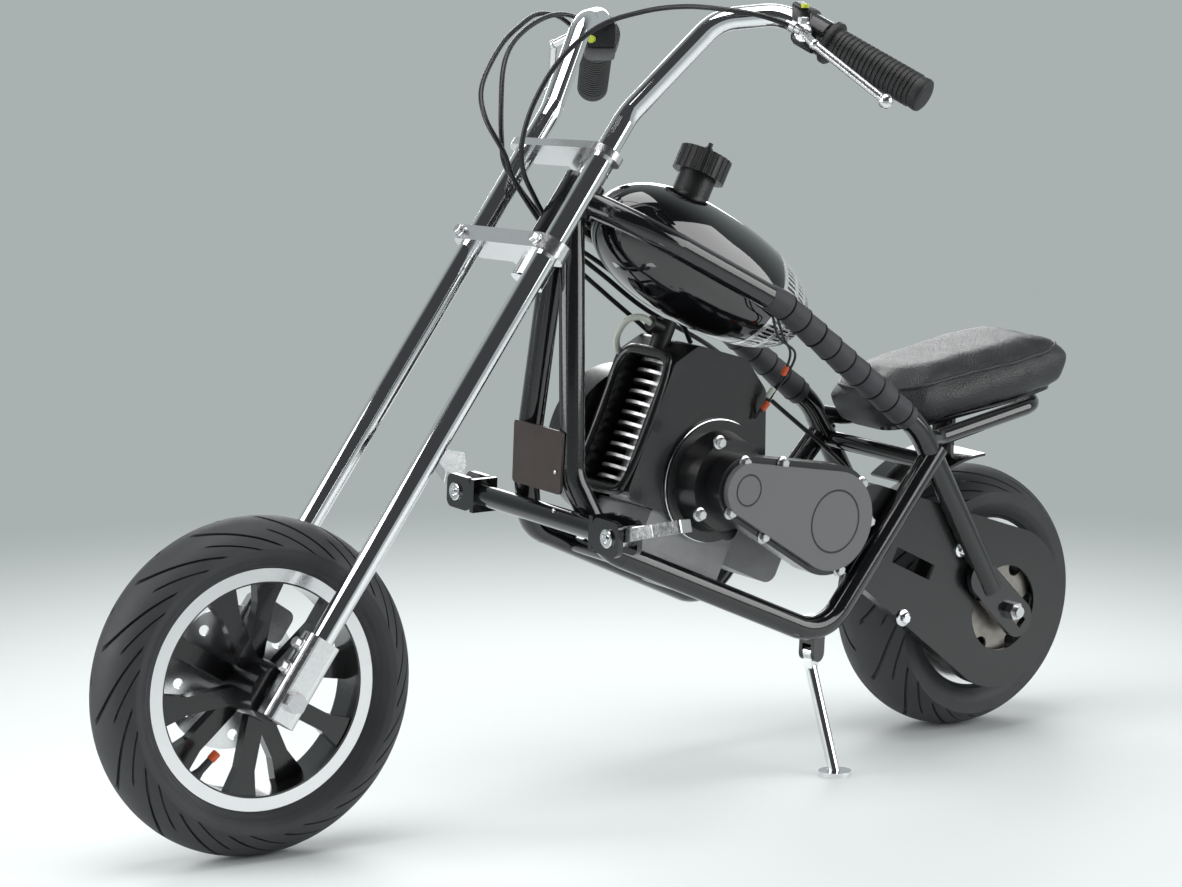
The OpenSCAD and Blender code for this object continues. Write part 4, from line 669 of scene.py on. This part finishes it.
# Front valve
# A rubber snap-in stem through the rim's well, with a red-orange cap pushed on its end.
valve_turn, valve_left, valve_radius = np.radians(-48), 14, 100
valve_way = np.array((np.cos(valve_turn), 0, np.sin(valve_turn)))
inward = np.array((0, 0.25, 0)) - valve_way
valve = front_axle + (0, valve_left, 0) + valve_radius * valve_way
stem_profile = [(0, 6), (3, 5), (8, 3.6), (22, 3.4)]
piece("valve_stem", [skin(steered(lathe(valve, valve + inward, stem_profile, 20)))],
      "front_wheel", rubber)
signal, spot = finish("orange_plastic", (0.62, 0.09, 0.02), 0.4)
feed(signal, Roughness=spot.noise(200) * 0.2 + 0.3)
cap_profile = [(0, 4.2), (8, 4.2), (9, 3)]
piece("valve_cap", [skin(steered(lathe(valve + inward * 21, valve + inward * 40, cap_profile, 20)))],
      "front_wheel", signal)


# Grips
# Moulded rubber sleeves with a closed outer end, rows of ribs and a flange at the inner end, pushed on the
# bars; one turned profile serves both.
grip_rubber, spot = finish("grip_rubber", (0.012, 0.012, 0.013), 0.5)
feed(grip_rubber, relief=spot.noise(1500, 2) * 0.0002, Roughness=spot.noise(80, 3) * 0.2 + 0.4)
bar_end, bar_in = np.array((347.6, 280, 700.3)), np.array((0.433, -0.7745, 0.46))
rib = np.arange(12, 94, 5)[:, None] + np.array([0, 0.5, 3.2, 3.7])
rib_radii = np.tile([15.4, 16.5, 16.5, 15.4], len(rib))
sleeve = [(0, 9), (0.2, 13), (1.6, 15.6), (4, 16.4), *zip(rib.ravel(), rib_radii), (97, 16.4), (102.6, 16.5),
          (103.2, 20.2), (104.2, 21), (108, 21), (109, 20), (109, 11.4)]
sleeves = []
for hand in (1, -1):
    outer, inner = ((bar_end + t * bar_in) * (1, hand, 1) for t in (-4, 1))
    sleeves.append(skin(steered(lathe(outer, inner, sleeve, 48))))
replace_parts(piece("grip_sleeves", sleeves, "steering", grip_rubber), "grips")


# Levers
# Cast perches clamped on the bars and sprayed black, with bright levers, cable adjusters and a box on each
# perch with a small button; the right box is the switch.
def slab(middle, along, across, size, corner=0.3):
    """Rings of a rounded block: a superellipse of the last two sizes, carried along the first size and
    drawn in at its ends."""
    along, across = unit(along), unit(across)
    w = np.linspace(0, 2 * np.pi, 48, endpoint=False)[:, None]
    c, s = (np.sign(f) * np.abs(f) ** corner for f in (np.cos(w), np.sin(w)))
    ring = size[1] / 2 * c * across + size[2] / 2 * s * np.cross(along, across)
    ends = np.array([(-0.5, 0.86), (-0.47, 0.96), (-0.42, 1), (0.42, 1), (0.47, 0.96), (0.5, 0.86)])
    t, k = ends.T[..., None, None]
    return np.asarray(middle, float) + t * size[0] * along + k * ring


lever_black, lever_bright = (0.01, 0.01, 0.011), (0.8, 0.8, 0.81)
perch_reach, blade_reach = 0.0235, 0.0245
for hand, node in ((1, "left_lever"), (-1, "right_lever")):
    lever, spot = finish(node + "_finish", lever_black, 0.3, Metallic=0.0)
    bar_a, bar_b = (steered((bar_end + t * bar_in) * (1, hand, 1)) for t in (0, 1000))
    blade = spot.from_line(bar_a, bar_b - bar_a).step(perch_reach, blade_reach)
    feed(lever, Base_Color=blade.tint(lever_black, lever_bright), Metallic=blade,
         Roughness=spot.noise(120, 3) * 0.15 + 0.14, relief=spot.noise(500, 3) * 0.00015)
    paint(lever, node)
perch_black, spot = finish("perch_black", lever_black, 0.28)
feed(perch_black, relief=spot.noise(500, 3) * 0.00015, Roughness=spot.noise(90, 3) * 0.2 + 0.2)
left_perch, right_perch = bar_end + 131 * bar_in, (bar_end + 150 * bar_in) * (1, -1, 1)
boxes = [slab(right_perch + (0, 0, -20), bar_in * (1, -1, 1), (0, 0, 1), (30, 28, 36)),
         slab(left_perch + (0, 0, 1), bar_in, (0, 0, 1), (22, 40, 32))]
piece("perch_boxes", [skin(steered(box)) for box in boxes], "steering", perch_black)
adjusters = [((440.4, 196.8, 769.4), (445.5, 185, 775.1)), ((405, -194.6, 744.6), (412, -184.8, 751.7))]
barrel = [(2, 4.4), (8, 4.4), (8.3, 6), (13, 6), (13.4, 3.8), (19, 3.4)]
pivots = [np.array(a) + (0, 0, 8.5) for a, _ in adjusters]
piece("cable_adjusters", [skin(parked(lathe(a, b, barrel, 20))) for a, b in adjusters]
      + bolts(pivots, (0, 0, 1), 9, 4, 6.5), "steering", zinc)
acid, spot = finish("yellow_green_plastic", (0.5, 0.58, 0.04), 0.4)
feed(acid, Roughness=spot.noise(200) * 0.2 + 0.3)
button = [(0, 4), (3, 4), (3.8, 3)]
buttons = [lathe(start, start + way, button, 20) for start, way in (
    (left_perch + (8, 8, 19), np.array((0, 0, 1.0))),
    (right_perch + (14, 6, -18), np.array((0.8, 0.6, 0))))]
piece("small_buttons", [skin(steered(b)) for b in buttons], "steering", acid)


# Control cables
# Three plastic-covered cables from the bars, past the head and on to the rear brake, carburettor and switch.
# Each is a round hose along a curve through its route.
def spline(points, count):
    """Curve through points: on each span a cubic whose end slopes follow the points on either side."""
    p = np.asarray(points, float)
    p = np.vstack([2 * p[0] - p[1], p, 2 * p[-1] - p[-2]])
    s = np.linspace(0, len(p) - 3 - 1e-6, count)
    i, t = s.astype(int), (s % 1)[:, None]
    a, b, c, d = (p[i + k] for k in range(4))
    return b + t * (c - a + t * (2 * a - 5 * b + 4 * c - d + t * (3 * b - a - 3 * c + d))) / 2


brake_route = [
    (444, 189.2, 773.6), (466, 165, 783), (487, 132, 787), (502, 95, 787), (520, 58, 780), (545, 24, 764),
    (571, 0, 731), (590, -13, 690), (596, -22, 652), (590, -27, 624), (574, -31, 600), (552, -36, 574),
    (515, -44, 543), (465, -52, 512), (405, -56, 474), (310, -62, 428), (215, -68, 362), (120, -64, 292),
    (76, -63, 246), (43, -63, 222)]
throttle_route = [
    (409.5, -188.4, 750), (440, -178, 763), (475, -165, 766), (510, -145, 757), (555, -118, 737),
    (600, -85, 701), (613, -60, 672), (604, -40, 640), (592, -42, 617), (572, -44, 592), (546, -47, 564),
    (508, -52, 528), (458, -58, 493), (400, -60, 452), (345, -56, 405), (312, -47, 364), (313, -25, 324)]
switch_route = [
    (404, -175.8, 748.8), (414, -168.3, 754.2), (436, -156, 764), (466, -143, 767), (497, -129, 763),
    (530, -114, 752), (561, -94, 737), (582, -76, 716), (596, -58, 682), (600, -50, 652), (594, -52, 628),
    (574, -54, 604), (548, -58, 580), (510, -62, 551), (458, -60, 520), (410, -46, 484), (380, -34, 464),
    (367.6, -30, 442.1)]
cable_radius = 2.5
cable_lines = [spline(route, 160) for route in (brake_route, throttle_route, switch_route)]
cable_skins = [skin(parked(hose(line, cable_radius, 14, (1, 1, 0.3)))) for line in cable_lines]
cables = piece("control_cables", cable_skins, None, cap_plastic)
tuple(parked((577, -45, 592)))
tuple(parked((600, -45, 650)))
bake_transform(cables)
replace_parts(cables, "cables_front", "cables_rear")


# Wiring
# A pale plug lead over the shroud, and two thin black wires from the left tube to the engine, with crimped
# joints in plastic sleeves.
pale, spot = finish("pale_plastic", (0.62, 0.66, 0.58), 0.45)
feed(pale, Roughness=spot.noise(200) * 0.2 + 0.35)
lead_radius, wire_radius = 3.4, 1.3
lead = spline([(106, 0, 123), (117, -4, 125), (124, -14, 119), (120, -27, 106), (106, -40, 94),
               (88, -46.5, 86)], 50)
wires = [spline([(350 + k, 80, 484), (338 + k, 77, 462), (322 - k, 71, 444), (321 - k, 63, 424),
                 (330, 57 + k / 2, 404), (338, 52 + k / 2, 388), (343 + k, 46, 375)], 60) for k in (0, 6)]
pale_sleeve, small_sleeve = [(0, 3), (1, 4), (11, 4), (12, 3)], [(0, 2.4), (1, 3.2), (9, 3.2), (10, 2.4)]
piece("plug_lead", [skin(engine(hose(lead, lead_radius, 16, (0.1, 0.3, 1)))),
                    skin(parked(lathe(wires[0][38], wires[0][44], pale_sleeve, 16)))],
      "frame", pale)
piece("thin_wires", [skin(parked(hose(line, wire_radius, 10, (1, 0.2, 0.1)))) for line in wires],
      "frame", cap_plastic)
piece("wire_joints", [skin(parked(lathe(wires[k][n], wires[k][n + 4], small_sleeve, 16)))
                      for k, n in ((0, 27), (1, 46))], "frame", signal)


# Seat
# A foam pad in black vinyl on a sheet pan: the CAD form, evenly remeshed, puffed out as cloth under air
# pressure with its base held, then piped round its upper edge.
vinyl, spot = finish("seat_vinyl", (0.014, 0.014, 0.016), 0.42)
grain = spot.node("ShaderNodeTexVoronoi", None, {"Vector": spot, "Scale": 700.0})
feed(vinyl, relief=grain * 0.0004 + spot.noise(60) * 0.0004, Roughness=spot.noise(40, 3) * 0.15 + 0.3)


def settled(made):
    """Replaces an object's mesh by what its modifiers give at the present frame."""
    evaluated = made.evaluated_get(bpy.context.evaluated_depsgraph_get())
    fixed = bpy.data.meshes.new_from_object(evaluated)
    made.modifiers.clear()
    made.data = fixed


def places(mesh):
    """The mesh's points as an array."""
    flat = np.empty(len(mesh.vertices) * 3)
    mesh.vertices.foreach_get("co", flat)
    return flat.reshape(-1, 3)


seat_foot, seat_tip = np.array((26.88, 0, 351.78)), np.radians(8.82)
held_band, air_pressure, puff_frames, most_puff = 0.012, 4.0, 20, 0.006
seat_base = parked(seat_foot)
seat_up = parked(seat_foot + 1000 * np.array((np.sin(seat_tip), 0, np.cos(seat_tip)))) - seat_base
cushion = bpy.data.objects.new("seat_cushion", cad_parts["seat"].data.copy())
scene.collection.objects.link(cushion)
even = cushion.modifiers.new("even", "REMESH")
even.mode, even.voxel_size = "VOXEL", 0.005
settled(cushion)
before = places(cushion.data)
height = (before - seat_base) @ seat_up
held = cushion.vertex_groups.new(name="held")
held.add(np.flatnonzero(height < height.min() + held_band).tolist(), 1.0, "ADD")
puff = cushion.modifiers.new("puff", "CLOTH")
puff.settings.use_pressure, puff.settings.uniform_pressure_force = True, air_pressure
puff.settings.effector_weights.gravity = 0.0
puff.settings.vertex_group_mass = "held"
puff.point_cache.frame_start, puff.point_cache.frame_end = 1, puff_frames
for moment in range(1, puff_frames + 1):
    scene.frame_set(moment)
settled(cushion)
scene.frame_set(1)
move = places(cushion.data) - before
length = np.linalg.norm(move, axis=1)[:, None]
after = before + move * np.minimum(1, most_puff / np.maximum(length, 1e-9))
cushion.data.vertices.foreach_set("co", after.ravel())
smooth = cushion.modifiers.new("smooth", "CORRECTIVE_SMOOTH")
smooth.use_only_smooth, smooth.iterations = True, 6
finer = cushion.modifiers.new("finer", "SUBSURF")
finer.levels = finer.render_levels = 1
settled(cushion)
cushion.data.polygons.foreach_set("use_smooth", np.ones(len(cushion.data.polygons), bool))
cushion.data.materials.clear()
cushion.data.materials.append(vinyl)
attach(cushion, "frame")
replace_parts(cushion, "seat")

# The piping follows the widest points of a narrow belt below the top, smoothed by keeping its first waves.
belt_below, belt_half, piping_radius, waves_kept = 0.014, 0.003, 0.0021, 14
top = places(cushion.data)
rise = (top - seat_base) @ seat_up
belt = top[np.abs(rise - rise.max() + belt_below) < belt_half]
flat = belt - belt.mean(0)
bearing = np.arctan2(flat[:, 1], flat[:, 0])
turns = np.linspace(-np.pi, np.pi, 72, endpoint=False)
apart = np.abs((bearing[None] - turns[:, None] + np.pi) % (2 * np.pi) - np.pi)
span = np.where(apart < 0.07, np.linalg.norm(flat, axis=1)[None], 0)
edge = belt[span.argmax(1)]
edge = np.fft.irfft(np.fft.rfft(edge, axis=0)[:waves_kept], 4 * len(turns), axis=0) * 4
piping = hose(np.vstack([edge[-1:], edge, edge[:1]]), piping_radius, 10, (0.05, 0.02, 1))[1:-1]
piece("seat_piping", [skin(piping, loop=True)], "frame", vinyl)
